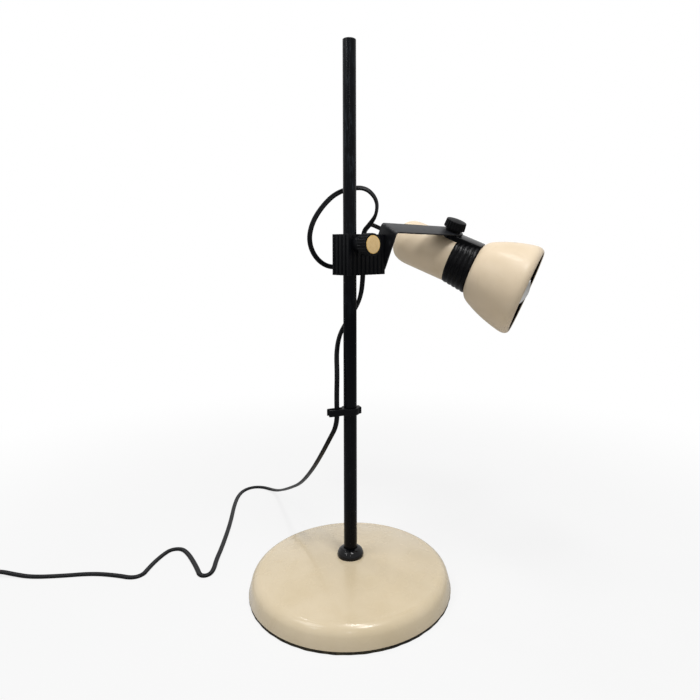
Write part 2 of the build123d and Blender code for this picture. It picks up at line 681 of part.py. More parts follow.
def lampholder_shell():
    """Skirted holder, open at the front, with a stepped bore for the threaded sleeve."""
    floor = HOLDER_BACK + HOLDER_BASE_T
    bore = THREAD_R + THREAD_WALL + FIT
    skirt = bore + 1.4
    lip = THREAD_BACK + THREAD_LENGTH
    body = spin_x(outline((HOLDER_BACK, 0), (HOLDER_BACK, HOLDER_R - 3), (HOLDER_BACK + 3, HOLDER_R),
                          (HOLDER_FRONT - 6, HOLDER_R), (HOLDER_FRONT, HOLDER_R - 2), (HOLDER_FRONT, skirt),
                          (lip, skirt), (lip, bore), (floor, bore), (floor, 0)))
    return head_frame * (body - rod_x(NIPPLE_R + FIT, HOLDER_BACK - 1, floor - 2 + FIT) - rod_x(2, floor - 4, floor + 1))


def lampholder_thread():
    """Brass sleeve with rolled rings for the bulb's thread."""
    start = THREAD_BACK
    sleeve = tube_x(THREAD_R + THREAD_WALL, THREAD_R, start, start + THREAD_LENGTH)
    return head_frame * sleeve


def lampholder_contact():
    """Sprung centre contact: a foot on the holder's floor and a raised tongue."""
    floor = HOLDER_BACK + HOLDER_BASE_T
    foot = Pos(floor, 5.0, 0) * Box(0.6, 8.0, 5.0, align=(Align.MIN, Align.CENTER, Align.CENTER))
    riser = Pos(floor, 8.7, 0) * Box(2.6, 0.6, 5.0, align=(Align.MIN, Align.CENTER, Align.CENTER))
    tongue = Pos(floor + 2.0, 3.0, 0) * Box(0.6, 12.0, 5.0, align=(Align.MIN, Align.CENTER, Align.CENTER))
    return head_frame * (foot + riser + tongue)


# ---------------------------------------------------------------- bulb
def bulb_side(inset):
    """Profile of the glass: a ball that runs into the neck."""
    radius = BULB_R - inset
    centre = BULB_TIP - BULB_R
    lean = math.radians(140)
    end = (centre + radius * math.cos(lean), radius * math.sin(lean))
    ball = ThreePointArc((centre + radius, 0), (centre + radius * math.cos(lean / 2), radius * math.sin(lean / 2)), end)
    neck = (BULB_CAP_FRONT + 2, BULB_NECK_R - inset)
    slope = (-math.sin(lean), math.cos(lean))
    flare = Spline(end, (BULB_TIP - 58.0, 14.6 - inset), neck, tangents=[slope, (-1, -0.02)])
    return ball, flare, neck


def bulb_glass():
    ball, flare, neck = bulb_side(0)
    inner_ball, inner_flare, inner_neck = bulb_side(BULB_WALL)
    back = BULB_CAP_FRONT - 4
    tip = Line((BULB_TIP, 0), (BULB_TIP - BULB_WALL, 0))
    foot = Polyline(neck, (back, neck[1]), (back, inner_neck[1]), inner_neck)
    return head_frame * spin_x(make_face(ball + flare + foot + inner_flare + inner_ball + tip))


def bulb_cap():
    """Screw cap with four rolled rings and a conical end."""
    back = BULB_CAP_BACK
    front = BULB_CAP_FRONT
    neck = BULB_NECK_R + FIT
    cap = spin_x(outline((back, CONTACT_R), (back + 3.5, BULB_CAP_R - 2.4), (back + 4, BULB_CAP_R - 0.5),
                         (front, BULB_CAP_R - 0.5), (front, neck), (front - 4 - FIT, neck),
                         (front - 4 - FIT, neck - 2), (back + 6, neck - 2), (back + 3, CONTACT_R)))
    ring = Rot(0, 90, 0) * Torus(BULB_CAP_R - 0.7, 0.7)
    for i in range(4):
        cap += Pos(back + 7 + 3.6 * i, 0, 0) * ring
    return head_frame * cap


def bulb_contact():
    """Black glass insulator with the solder tip, in one plug."""
    back = BULB_CAP_BACK
    return head_frame * (rod_x(CONTACT_R - FIT, back - 1.4, back + 4) + rod_x(2.6, back - 2.2, back))


# ---------------------------------------------------------------- head gland
GLAND_SEAT = BODY_REAR + 0.9
GLAND_TIP = BODY_REAR - GLAND_LENGTH


def head_gland():
    """Strain relief: inner flange, waist in the body's hole, outer flange and tapered snout."""
    waist = GLAND_HOLE_R
    inner = BODY_REAR + BODY_WALL + 0.8
    body = spin_x(outline((GLAND_TIP, 0), (GLAND_TIP, GLAND_TIP_R), (BODY_REAR - 3, GLAND_R),
                          (BODY_REAR - GLAND_FLANGE_T, GLAND_FLANGE_R), (BODY_REAR - 0.02, GLAND_FLANGE_R),
                          (BODY_REAR - 0.02, waist), (inner, waist), (inner, waist + 1.6),
                          (inner + 2, waist + 0.8), (inner + 2, 0)))
    for i in range(3):
        x = BODY_REAR - 4.6 - 3.2 * i
        body -= tube_x(9, GLAND_TIP_R + 0.1, x - 1.1, x) & Box(600, 600, 4.0)
    return head_frame * (body - rod_x(CORD_R + FIT, GLAND_TIP - 1, GLAND_TIP + GLAND_BORE))


# ---------------------------------------------------------------- cord
def head_point(x, y=0.0, z=0.0):
    return tuple((head_frame * Pos(x, y, z)).position)


FLOOR = CORD_R
# corners of the cord's route, from the head's gland to the switch
ROUTE = [
    head_point(GLAND_TIP + GLAND_BORE), head_point(GLAND_TIP - 8.4),
    (19.5, 117.0, 392.5), (16.3, 95.0, 388.0), (11.5, 72.0, 374.5), (1.5, 53.0, 358.5),
    (-13.7, 35.0, 341.2), (-27.2, 20.0, 343.0), (-38.3, 8.0, 354.3), (-43.3, 3.0, 371.2),
    (-39.6, 4.0, 389.5), (-29.6, 9.0, 406.5), (-16.2, 14.0, 420.5), (0.6, 18.5, 427.0),
    (17.4, 17.5, 426.8), (28.6, 16.0, 414.0), (28.0, 14.6, 398.6), (21.0, 13.4, 388.0),
    (13.25, 12.62, 379.5), (13.75, 13.1, 354.5), (13.25, 12.62, 329.5), (11.0, 15.4, 311.0),
    (4.6, 17.6, 296.0), (-4.8, 17.0, 283.0), (-12.2, 11.0, 269.0), (-14.6, 2.6, 252.0),
    (-13.2, -6.0, 232.0), (-13.9, -6.3, 205.0), (-13.2, -6.0, 178.0), (-22.5, 0.0, 159.0),
    (-33.5, 15.0, 135.5), (-46.5, 43.0, 108.5),
    (-65.0, 90.0, 74.5), (-86.0, 143.0, 46.5), (-106.0, 196.0, 20.5),
    (-123.0, 234.0, 3.6), (-146.0, 252.0, FLOOR), (-164.0, 248.5, FLOOR), (-173.5, 230.0, FLOOR),
    (-173.0, 196.0, FLOOR), (-164.0, 136.0, FLOOR), (-159.0, 78.0, FLOOR), (-157.8, 48.0, FLOOR),
    (-155.6, 32.0, FLOOR), (-156.0, 20.3, FLOOR), (-161.2, 15.4, FLOOR), (-167.7, 17.4, FLOOR),
    (-173.5, 28.5, FLOOR), (-183.5, 45.0, FLOOR), (-195.0, 62.0, FLOOR), (-206.0, 73.0, FLOOR),
    (-218.0, 71.5, FLOOR), (-223.5, 60.5, FLOOR), (-227.8, 43.0, FLOOR),
    (-229.6, 29.0, FLOOR), (-230.6, 17.5, FLOOR), (-240.0, 11.5, FLOOR),
    (-258.0, 16.5, FLOOR), (-287.0, 20.5, FLOOR), (-321.0, 15.5, FLOOR), (-352.0, 13.4, FLOOR),
    (-374.0, 17.0, 3.0), (-387.0, 17.5, SWITCH_SPLIT), (SWITCH_X, 17.5, SWITCH_SPLIT),
]
# node, first corner, last corner, then where its ends lie on the runs before and after (0 to 1)
CORD_NODES = [
    ("cord_head_run", 1, 2, 0.0, 0.5),
    ("cord_arm_run", 3, 5, 0.5, 0.5),
    ("cord_loop", 6, 19, 0.5, 0.5),
    ("cord_twist", 20, 22, 0.5, 0.5),
    ("cord_drop", 23, 26, 0.5, 0.5),
    ("cord_lead", 27, len(ROUTE) - 2, 0.5, 1.0),
]


def along(a, b, share):
    return tuple(p + (q - p) * share for p, q in zip(a, b))


def corner_radius(route, i):
    """As large an arc as the two runs beside corner i allow."""
    before = Vector(*route[i]) - Vector(*route[i - 1])
    after = Vector(*route[i + 1]) - Vector(*route[i])
    turn = math.radians(before.get_angle(after))
    return 0.45 * min(before.length, after.length) / math.tan(turn / 2)


def cord_tube(route, first, last, start, end):
    points = [along(route[first - 1], route[first], start)]
    points += route[first:last + 1]
    points += [along(route[last], route[last + 1], end)]
    radii = [corner_radius(route, i) for i in range(first, last + 1)]
    path = FilletPolyline(*points, radius=radii)
    section = Plane(origin=path @ 0, z_dir=path % 0) * Circle(CORD_R)
    swept = sweep(section, path=path)
    length = sum(edge.length for edge in path.edges())
    share = swept.volume / (math.pi * CORD_R**2 * length)
    print(f"cord length {length:.1f}, volume against section times length {share:.4f},",
          "radii", [round(r, 1) for r in radii])
    return swept


COIL_Z = TIE_T + TIE_GAP + COIL_HEIGHT / 2
SWITCH_END = SWITCH_X - SWITCH_LENGTH
TAIL_ROUTE = [(SWITCH_END, 17.5, SWITCH_SPLIT), (SWITCH_END - 9, 17.5, SWITCH_SPLIT),
              (COIL_CENTRE[0] + 16, 17.6, COIL_Z), (COIL_CENTRE[0] + 8, 17.5, COIL_Z)]
PLUG_X = COIL_CENTRE[0] - COIL_R
PLUG_Z = PLUG_HEIGHT / 2
END_ROUTE = [(PLUG_X, COIL_CENTRE[1] + 8, COIL_Z), (PLUG_X + 0.1, COIL_CENTRE[1] + 17, COIL_Z),
             (PLUG_X, PLUG_START - 8, PLUG_Z), (PLUG_X, PLUG_START, PLUG_Z)]


def cord_coil():
    """Outer shape of the coiled length: a ring of oblong section with rounded corners."""
    section = Pos(COIL_R, COIL_Z) * RectangleRounded(COIL_WIDTH, COIL_HEIGHT, 2.4)
    return Pos(*COIL_CENTRE, 0) * spin(section)


def coil_tie():
    """Band round the coil's section."""
    wide = COIL_WIDTH + 2 * TIE_GAP
    high = COIL_HEIGHT + 2 * TIE_GAP
    band = Box(wide + 2 * TIE_T, TIE_WIDTH, high + 2 * TIE_T) - Box(wide, TIE_WIDTH + 2, high)
    return Pos(*COIL_CENTRE, COIL_Z) * Rot(0, 0, TIE_ANGLE) * Pos(COIL_R, 0, 0) * band


# ---------------------------------------------------------------- cord switch
SWITCH_MIDDLE = (SWITCH_X - SWITCH_LENGTH / 2, 17.5)
ROCKER_Z = SWITCH_HEIGHT - 4.6


def switch_plan(low, high):
    """Slice of the switch's outside between two heights: a boat-shaped plan with blunt ends."""
    half = SWITCH_LENGTH / 2
    side = SWITCH_WIDTH / 2
    tip = 4.6
    upper = ThreePointArc((-half, tip), (0, side), (half, tip))
    lower = ThreePointArc((half, -tip), (0, -side), (-half, -tip))
    ends = Line((half, tip), (half, -tip)) + Line((-half, -tip), (-half, tip))
    return Pos(0, 0, low) * extrude(make_face(upper + lower + ends), high - low)


def cord_channel():
    return Pos(0, 0, SWITCH_SPLIT) * rod_x(CORD_R + FIT, -SWITCH_LENGTH, SWITCH_LENGTH)


def switch_base():
    low = fillet(switch_plan(0, SWITCH_SPLIT).edges().group_by(Axis.Z)[0], 1.2)
    hollow = Box(SWITCH_LENGTH - 26, ROCKER_WIDTH + 2 * LOOSE, SWITCH_SPLIT, align=BASE)
    return Pos(*SWITCH_MIDDLE, 0) * (low - Pos(0, 0, 2) * hollow - cord_channel())


def switch_cover():
    top = fillet(switch_plan(SWITCH_SPLIT, SWITCH_HEIGHT).edges().group_by(Axis.Z)[-1], 2.6)
    hollow = Box(SWITCH_LENGTH - 26, ROCKER_WIDTH + 2 * LOOSE, SWITCH_HEIGHT - SWITCH_SPLIT - 2, align=BASE)
    window = Box(ROCKER_LENGTH + 2 * LOOSE + 0.6, ROCKER_WIDTH + 2 * LOOSE, 3 * SWITCH_HEIGHT)
    top -= Pos(0, 0, SWITCH_SPLIT) * hollow
    top -= window
    top -= cord_channel()
    for side in (-1, 1):
        pin = Rot(90, 0, 0) * Cylinder(ROCKER_AXLE_R - RUNNING, 1.9)
        top += Pos(0, side * (ROCKER_WIDTH / 2 + LOOSE - 0.35), ROCKER_Z) * pin
    return Pos(*SWITCH_MIDDLE, 0) * top


def switch_rocker():
    """Rocker with two shallow finger dips, on stub pins of the cover."""
    body = Box(ROCKER_LENGTH, ROCKER_WIDTH, 6.0, align=BASE)
    body &= Pos(0, 0, 7.2 - ROCKER_R) * Rot(90, 0, 0) * Cylinder(ROCKER_R, ROCKER_WIDTH)
    for side in (-1, 1):
        body -= Pos(side * ROCKER_LENGTH * 0.72, 0, 12.4) * Rot(90, 0, 0) * Cylinder(11.0, 2 * ROCKER_WIDTH)
    body = Pos(0, 0, -1.4) * body + Rot(90, 0, 0) * Cylinder(2.4, ROCKER_WIDTH)
    for side in (-1, 1):
        body -= Pos(0, side * ROCKER_WIDTH / 2, 0) * Rot(90, 0, 0) * Cylinder(ROCKER_AXLE_R, 3.2)
    return Pos(*SWITCH_MIDDLE, ROCKER_Z) * body


# ---------------------------------------------------------------- plug
def plug_body():
    """Two-pin plug with a waisted grip and a ribbed strain relief, lying on the table."""
    start = PLUG_RELIEF
    end = PLUG_RELIEF + PLUG_LENGTH
    half = PLUG_WIDTH / 2
    plan = make_face(Polyline((start, -5), (start + 12, -half * 0.72), (end, -half), (end, half),
                              (start + 12, half * 0.72), (start, 5), close=True))
    grip = extrude(plan, PLUG_HEIGHT / 2, both=True)
    grip = fillet(grip.edges().filter_by(Axis.Z).group_by(Axis.X)[-1], 4.0)
    grip = fillet(grip.edges().group_by(Axis.Z)[-1] + grip.edges().group_by(Axis.Z)[0], 2.0)
    relief = spin_x(outline((0, 0), (0, CORD_R + 0.9), (start + 1, 4.6), (start + 1, 0)))
    for i in range(4):
        x = 4 + 4.6 * i
        relief -= tube_x(9, CORD_R + 0.75 + 0.24 * i, x, x + 1.4) & Box(300, 300, 4.4)
    body = grip + relief - rod_x(CORD_R + FIT, -1, 6)
    for side in (-1, 1):
        body -= Pos(0, side * PIN_SPACING / 2, 0) * rod_x(PIN_R + FIT, end - 12, end + 1)
    return plug_frame() * body


def plug_frame():
    return Pos(PLUG_X, PLUG_START, PLUG_Z) * Rot(0, 0, 90)


def plug_pins():
    end = PLUG_RELIEF + PLUG_LENGTH
    pin = rod_x(PIN_R, end - 12, end + PIN_LENGTH)
    pin = fillet(pin.edges().group_by(Axis.X)[-1], 0.9)
    pair = [Pos(0, side * PIN_SPACING / 2, 0) * pin for side in (-1, 1)]
    return plug_frame() * Compound(children=pair)


# ---------------------------------------------------------------- write every node
NODES = [
    base_cover, base_weight, base_pad, foot_washer, foot_bolt, foot_spacer,
    pole_tube, pole_insert, pole_cap, pole_rosette, cord_clip,
    clamp_block, clamp_liner, clamp_pad, clamp_insert, clamp_screw, clamp_knob, clamp_knob_disc,
    pivot_washer, pivot_spring_washer, pivot_bolt, pivot_nut, arm_strip,
    head_knob_washer, head_knob, head_screw, head_insert, friction_washer,
    head_body, head_collar, shade, holder_bridge, holder_nipple, nipple_nut,
    lampholder_shell, lampholder_thread, lampholder_contact,
    bulb_glass, bulb_cap, bulb_contact, head_gland,
    cord_coil, coil_tie, switch_base, switch_cover, switch_rocker, plug_body, plug_pins,
]

for make in NODES:
    save(make.__name__, make())

for name, first, last, start, end in CORD_NODES:
    save(name, cord_tube(ROUTE, first, last, start, end))
save("cord_tail", cord_tube(TAIL_ROUTE, 1, 2, 0.0, 1.0))
save("cord_end", cord_tube(END_ROUTE, 1, 2, 0.0, 1.0))
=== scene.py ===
import json
import math

import bmesh
import bpy
import numpy as np
from mathutils import Matrix, Vector

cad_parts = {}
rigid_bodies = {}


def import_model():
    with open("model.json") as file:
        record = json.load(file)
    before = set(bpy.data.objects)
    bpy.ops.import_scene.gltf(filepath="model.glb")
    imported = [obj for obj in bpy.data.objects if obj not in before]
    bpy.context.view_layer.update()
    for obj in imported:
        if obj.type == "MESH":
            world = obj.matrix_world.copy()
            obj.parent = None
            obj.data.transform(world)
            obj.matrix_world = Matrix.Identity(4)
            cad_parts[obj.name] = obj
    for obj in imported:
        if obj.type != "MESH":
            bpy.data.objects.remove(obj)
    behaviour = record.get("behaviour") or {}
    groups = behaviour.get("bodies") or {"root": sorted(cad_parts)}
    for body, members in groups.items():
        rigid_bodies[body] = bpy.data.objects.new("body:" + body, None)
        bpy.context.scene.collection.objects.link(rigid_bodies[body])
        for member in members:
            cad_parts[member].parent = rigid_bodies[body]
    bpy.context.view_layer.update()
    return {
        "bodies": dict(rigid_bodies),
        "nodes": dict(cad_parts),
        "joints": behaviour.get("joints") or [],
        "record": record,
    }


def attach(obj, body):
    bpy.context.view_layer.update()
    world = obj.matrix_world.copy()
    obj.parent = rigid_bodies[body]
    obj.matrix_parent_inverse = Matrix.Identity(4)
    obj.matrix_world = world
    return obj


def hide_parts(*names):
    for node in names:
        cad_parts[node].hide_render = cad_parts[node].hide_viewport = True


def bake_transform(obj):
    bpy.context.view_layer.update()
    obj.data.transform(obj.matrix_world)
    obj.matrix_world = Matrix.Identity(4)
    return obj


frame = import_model()

# Desk spot lamp. Lengths below are millimetres and angles are degrees; meshes are written in metres.
MM = 0.001
SHARP = 40.0  # edges sharper than this stay sharp

# ---- sizes shared by several pieces
FOOT_R, PAD_T, FOOT_SHOULDER, FOOT_EDGE_R, FOOT_CROWN = 106.8, 2.6, 22.4, 12.0, 34.5
POLE_R, POLE_TOP = 7.0, 577.6
CLIP_Z, CLIP_TURN = 191.0, 204.4
BLOCK_BOTTOM, BLOCK_HEIGHT, BLOCK_DEPTH, BLOCK_NOSE, BLOCK_TAIL = 334.6, 42.6, 26.0, 12.9, 38.6
BLOCK_TOP = BLOCK_BOTTOM + BLOCK_HEIGHT
CORD_HOLE_X, SCREW_Z, SCREW_BORE = 18.3, 366.5, 2.6
BOSS_END, KNOB_START, KNOB_END = 22.9, 23.3, 35.9
ARM_T, ARM_WIDTH, ARM_BEND_R = 1.5, 25.0, 2.6
ARM_END, ARM_LEG, ARM_REACH = 9.4, 44.1, 107.7
LEG_X = BLOCK_TAIL + 0.5 + ARM_T / 2
HEAD_DROP = 33.0
BODY_R, BODY_STRAIGHT, BODY_NOSE, BODY_FRONT = 27.2, 35.4, 28.2, 19.3
BODY_REAR = -BODY_STRAIGHT - BODY_NOSE
COLLAR_BACK, COLLAR_FRONT, COLLAR_BACK_R, COLLAR_FRONT_R = 10.9, 40.1, 27.8, 31.0
CORD_WIDE, CORD_THICK = 5.4, 3.2


def turn(axis, degrees):
    """Turned frame."""
    return Matrix.Rotation(math.radians(degrees), 4, axis)


def move(x, y, z):
    """Moved frame."""
    return Matrix.Translation((x, y, z))


# frames of the joints, each from the one before it; ALONG_X lays a turned piece's axis on X
CLAMP_TURN, PIVOT_UP, ARM_LEAN, ARM_DROOP, HEAD_SWIVEL = 43.6, 9.6, 25.0, 1.1, 64.75
ROOM = Matrix.Identity(4)
CLIP = move(0, 0, CLIP_Z) @ turn("Z", CLIP_TURN)
CLAMP = turn("Z", CLAMP_TURN)
SCREW = CLAMP @ move(0, 0, SCREW_Z) @ turn("X", 90)
PIVOT = CLAMP @ move(0, 0, BLOCK_BOTTOM + PIVOT_UP)
ARM = PIVOT @ turn("X", ARM_LEAN)
HINGE = ARM @ move(LEG_X, 0, ARM_LEG) @ turn("Y", ARM_DROOP) @ move(ARM_REACH, 0, 0)
HEAD = HINGE @ move(0, 0, -HEAD_DROP) @ turn("Z", -HEAD_SWIVEL)
ALONG_X = turn("Y", 90)
BEAM = HEAD @ ALONG_X


# ---- shader nodes
class Value:
    """A node's output socket; arithmetic on it adds Math nodes."""

    def __init__(self, nodes, socket):
        self.nodes = nodes
        self.socket = socket

    def math(self, operation, *others):
        """Math node of this value and the others."""
        return self.nodes.node("ShaderNodeMath", (self, *others), operation=operation)

    def __add__(self, other):
        return self.math("ADD", other)

    def __mul__(self, other):
        return self.math("MULTIPLY", other)

    def __sub__(self, other):
        return self.math("SUBTRACT", other)

    def __rsub__(self, other):
        return self.nodes.node("ShaderNodeMath", (other, self), operation="SUBTRACT")

    __radd__ = __add__
    __rmul__ = __mul__

    def rise(self, low, high):
        """0 at low, 1 at high and smooth between; a fall where high is the smaller."""
        ends = (low, high, 0.0, 1.0) if low < high else (high, low, 1.0, 0.0)
        return self.nodes.node("ShaderNodeMapRange", (self, *ends), interpolation_type="SMOOTHSTEP")


class Nodes:
    """A node tree with one method that makes any node."""

    def __init__(self, tree):
        self.tree = tree

    def node(self, kind, inputs=(), output=0, **settings):
        """One output of a new node; inputs are values by number or by name."""
        made = self.tree.nodes.new(kind)
        for key, value in settings.items():
            setattr(made, key, value)
        for key, value in inputs.items() if isinstance(inputs, dict) else enumerate(inputs):
            self.feed(made.inputs[key], value)
        return Value(self, made.outputs[output])

    def feed(self, socket, value):
        """Links a value to the socket, or sets a plain one on it."""
        if isinstance(value, Value):
            self.tree.links.new(value.socket, socket)
        else:
            socket.default_value = value


class Finish(Nodes):
    """A material: patterns on object coordinates in millimetres, and a Principled shader."""

    def __init__(self, name, **settings):
        self.material = bpy.data.materials.new(name)
        self.material.use_nodes = True
        super().__init__(self.material.node_tree)
        self.shader = self.tree.nodes["Principled BSDF"]
        self.set(**settings)
        self.place = self.node("ShaderNodeTexCoord", output="Object")

    def set(self, **inputs):
        """Feeds the shader's inputs by name and gives the material."""
        for key, value in inputs.items():
            self.feed(self.shader.inputs[key.replace("_", " ")], value)
        return self.material

    def spot(self, frame=ROOM, stretch=(1, 1, 1), shift=(0, 0, 0)):
        """Place in the given frame, in millimetres, then stretched and shifted."""
        back = frame.inverted()
        near = self.node("ShaderNodeMapping", {"Vector": self.place, "Scale": (1 / MM,) * 3})
        local = self.node("ShaderNodeMapping", {"Vector": near, "Rotation": tuple(back.to_euler()),
                                                "Location": tuple(back.translation)})
        return self.node("ShaderNodeMapping", {"Vector": local, "Scale": stretch, "Location": shift})

    def noise(self, size, detail=2.0, roughness=0.5, **place):
        """Soft noise, 0 to 1, with features about size millimetres across."""
        return self.node("ShaderNodeTexNoise", {"Vector": self.spot(**place), "Scale": 1.0 / size,
                                                "Detail": detail, "Roughness": roughness})

    def dots(self, size, spread, keep, **place):
        """1 at scattered dots, 0 between; spread is their radius over size, keep the share kept."""
        gap = self.node("ShaderNodeTexVoronoi", {"Vector": self.spot(**place), "Scale": 1.0 / size},
                        output="Distance")
        patch = self.noise(size * 2.5, 1, shift=(31, 5, 8)).rise(0.62 - keep / 2, 0.7 - keep / 2)
        return gap.rise(spread, spread * 0.5) * patch

    def mix(self, low, high, share):
        """Colour from low to high as share goes from 0 to 1; three numbers are display values."""
        low, high = (shade_of(*c) if isinstance(c, tuple) and len(c) == 3 else c for c in (low, high))
        return self.node("ShaderNodeMix", {0: share, 6: low, 7: high}, output=2, data_type="RGBA")

    def bump(self, height, strength, depth):
        """Surface relief where height 1 stands depth millimetres over height 0."""
        return self.node("ShaderNodeBump", {"Height": height, "Strength": strength, "Distance": depth * MM})

    def dressed(self, tone, rough, relief, **more):
        """The material with its tone, roughness, relief (height, strength, depth) and more inputs."""
        return self.set(Base_Color=tone, Roughness=rough, Normal=self.bump(*relief), **more)


def shade_of(red, green, blue):
    """Linear colour from display values, 0 to 255."""
    def linear(c):
        return ((c / 255 + 0.055) / 1.055) ** 2.4 if c > 10 else c / 255 / 12.92
    return linear(red), linear(green), linear(blue), 1.0


# ---- finishes
def stove_enamel(name, light, deep, gloss, coat):
    """Sprayed cream enamel: faint clouds, orange peel, dull rubs and pin-head chips."""
    paint = Finish(name, Coat_Roughness=0.12, Specular_IOR_Level=0.25)
    cloud = paint.noise(38, 3).rise(0.25, 0.8)
    rub = paint.noise(9, 5, 0.62, stretch=(1, 1, 0.35), shift=(7, 3, 1)).rise(0.56, 0.74)
    chips = paint.dots(13, 0.035, 0.06, shift=(4, 9, 2))
    tone = paint.mix(paint.mix(light, deep, cloud), (196, 176, 142), rub * 0.15)
    tone = paint.mix(tone, (92, 76, 54), chips * 0.7)
    peel = paint.noise(1.5, 2)
    rough = rub * 0.14 + cloud * 0.05 + gloss
    return paint.dressed(tone, rough, (peel, 0.14, 0.05), Coat_Weight=coat - rub * (coat * 0.6))


def arm_lacquer():
    """Satin black lacquer on the arm, with rubbed streaks and small chips where it is worn."""
    paint = Finish("arm_lacquer", Specular_IOR_Level=0.24)
    streak = paint.noise(1.6, 4, 0.6, stretch=(0.4, 0.4, 0.4))
    patch = paint.noise(14, 3, 0.6, shift=(2, 8, 5)).rise(0.42, 0.68)
    worn = streak.rise(0.5, 0.74) * patch * 0.35
    chips = paint.dots(5.5, 0.09, 0.2) * patch
    tone = paint.mix((16, 17, 20), (70, 72, 76), worn + chips * 0.4)
    relief = paint.noise(0.6, 2) + streak * 0.6
    return paint.dressed(tone, worn * 0.3 + streak * 0.12 + 0.38, (relief, 0.2, 0.04))


def pole_lacquer():
    """Blue-black lacquer with lengthwise streaks, most above the clamp: partly scuffs, partly painted sheen.
    """
    paint = Finish("pole_lacquer", Specular_IOR_Level=0.08)
    streak = paint.noise(1.3, 4, 0.6, stretch=(1, 1, 0.07))
    fleck = paint.noise(2.4, 5, 0.7, stretch=(1, 1, 0.4), shift=(6, 2, 9))
    height = paint.node("ShaderNodeSeparateXYZ", {"Vector": paint.spot()}, output="Z")
    # painted sheen and scuffs together: few near the foot, most above the clamp
    scuff_and_sheen_by_height = height.rise(345, 420) * 0.75 + 0.18
    patch = paint.noise(22, 3, 0.6, stretch=(1, 1, 0.6), shift=(2, 8, 5)).rise(0.38, 0.66)
    worn = (streak.rise(0.46, 0.74) * 0.6 + fleck.rise(0.55, 0.72) * 0.7) * patch * scuff_and_sheen_by_height
    # streak tone: pale bluish grey, partly scuffed lacquer and partly a painted sheen
    tone = paint.mix((5, 6, 10), (66, 74, 82), worn)
    return paint.dressed(tone, worn * 0.28 + streak * 0.1 + 0.2, (streak + fleck, 0.22, 0.04))


def moulding(name, base, dust, gloss, grain_size=0.5, depth=0.05, level=0.08):
    """Moulded black plastic: fine grain, handling shine and a little pale dust."""
    paint = Finish(name, Specular_IOR_Level=level)
    grain = paint.noise(grain_size, 3, 0.6)
    shine = paint.noise(8, 3, shift=(5, 1, 9)).rise(0.35, 0.75)
    grey = paint.noise(2.2, 5, 0.7, shift=(1, 6, 3)).rise(0.6, 0.82)
    rough = grain * 0.12 - shine * 0.1 + (gloss + 0.06)
    return paint.dressed(paint.mix(base, dust, grey * 0.4), rough, (grain, 0.3, depth))


def metal(name, tone, gloss):
    """Plated or turned metal: fine tool marks and a little tarnish."""
    paint = Finish(name, Metallic=1.0)
    marks = paint.noise(0.8, 3, 0.55)
    tarnish = paint.noise(5, 4, 0.6, shift=(3, 3, 7)).rise(0.45, 0.75)
    light = shade_of(*tone)
    dark = tuple(0.55 * c for c in light[:3]) + (1.0,)
    rough = tarnish * 0.2 + marks * 0.12 + gloss
    return paint.dressed(paint.mix(light, dark, tarnish * 0.5), rough, (marks, 0.2, 0.03))


def cord_sheath():
    """Limp black flex: greasy sheen, faint scuffs and dust."""
    paint = Finish("cord_sheath", Specular_IOR_Level=0.12)
    grain = paint.noise(0.45, 2)
    scuff = paint.noise(3.2, 5, 0.65).rise(0.5, 0.75)
    tone = paint.mix((11, 12, 15), (40, 42, 46), scuff * 0.4)
    return paint.dressed(tone, scuff * 0.2 + grain * 0.08 + 0.3, (grain, 0.2, 0.04))


def pad_rubber():
    """Dark sheet under the foot with a rubbed, greenish-brown edge."""
    paint = Finish("pad_rubber", Specular_IOR_Level=0.2)
    fibre = paint.noise(0.9, 4, 0.7)
    worn = paint.noise(6, 4, 0.7, shift=(1, 4, 2)).rise(0.42, 0.7)
    pale = paint.noise(1.6, 3, 0.6, shift=(8, 2, 2)).rise(0.58, 0.78)
    tone = paint.mix((26, 24, 19), (84, 77, 54), worn * 0.6)
    tone = paint.mix(tone, (148, 136, 104), pale * 0.45)
    return paint.dressed(tone, fibre * 0.2 + 0.72, (fibre, 0.6, 0.25))


def gold_foil():
    """Pale gold disc: fine turned rings, age specks and a brighter edge."""
    paint = Finish("gold_foil", Metallic=0.2, Specular_IOR_Level=0.4)
    cloud = paint.noise(3.5, 4, 0.6)
    specks = paint.dots(2.4, 0.14, 0.15)
    flat = paint.spot(frame=SCREW, stretch=(1, 1, 0))
    radius = paint.node("ShaderNodeVectorMath", (flat,), output="Value", operation="LENGTH")
    tone = paint.mix((242, 209, 152), (231, 197, 138), cloud.rise(0.3, 0.75))
    tone = paint.mix(tone, (232, 188, 96), radius.rise(8.2, 8.9) * 0.7)
    tone = paint.mix(tone, (140, 112, 66), specks * 0.5)
    return paint.dressed(tone, cloud * 0.15 + 0.36, ((radius * 14.0).math("SINE"), 0.06, 0.02))


def opal_glass():
    """Milky white bulb under a clear gloss."""
    paint = Finish("bulb_opal", Coat_Weight=1.0, Coat_Roughness=0.02, Specular_IOR_Level=0.5)
    powder = paint.noise(12, 4, 0.6)
    tone = paint.mix((250, 249, 246), (238, 236, 229), powder.rise(0.3, 0.8))
    return paint.dressed(tone, powder * 0.12 + 0.22, (paint.noise(4, 2), 0.04, 0.05))


def cast_iron():
    """Sand-cast weight with rust blooms."""
    paint = Finish("cast_iron", Metallic=0.8)
    sand = paint.noise(1.2, 5, 0.7)
    rust = paint.noise(9, 5, 0.6, shift=(3, 2, 5)).rise(0.5, 0.72)
    tone = paint.mix((70, 70, 72), (104, 66, 42), rust * 0.6)
    return paint.dressed(tone, rust * 0.25 + sand * 0.2 + 0.5, (sand, 0.8, 0.4))


def natural_nylon():
    """Off-white nylon with flow marks."""
    paint = Finish("natural_nylon", Specular_IOR_Level=0.4)
    flow = paint.noise(4, 3, 0.5, stretch=(1, 1, 0.3))
    tone = paint.mix((222, 219, 208), (196, 190, 172), flow.rise(0.35, 0.75))
    return paint.dressed(tone, flow * 0.12 + 0.4, (paint.noise(0.7, 2), 0.2, 0.04))


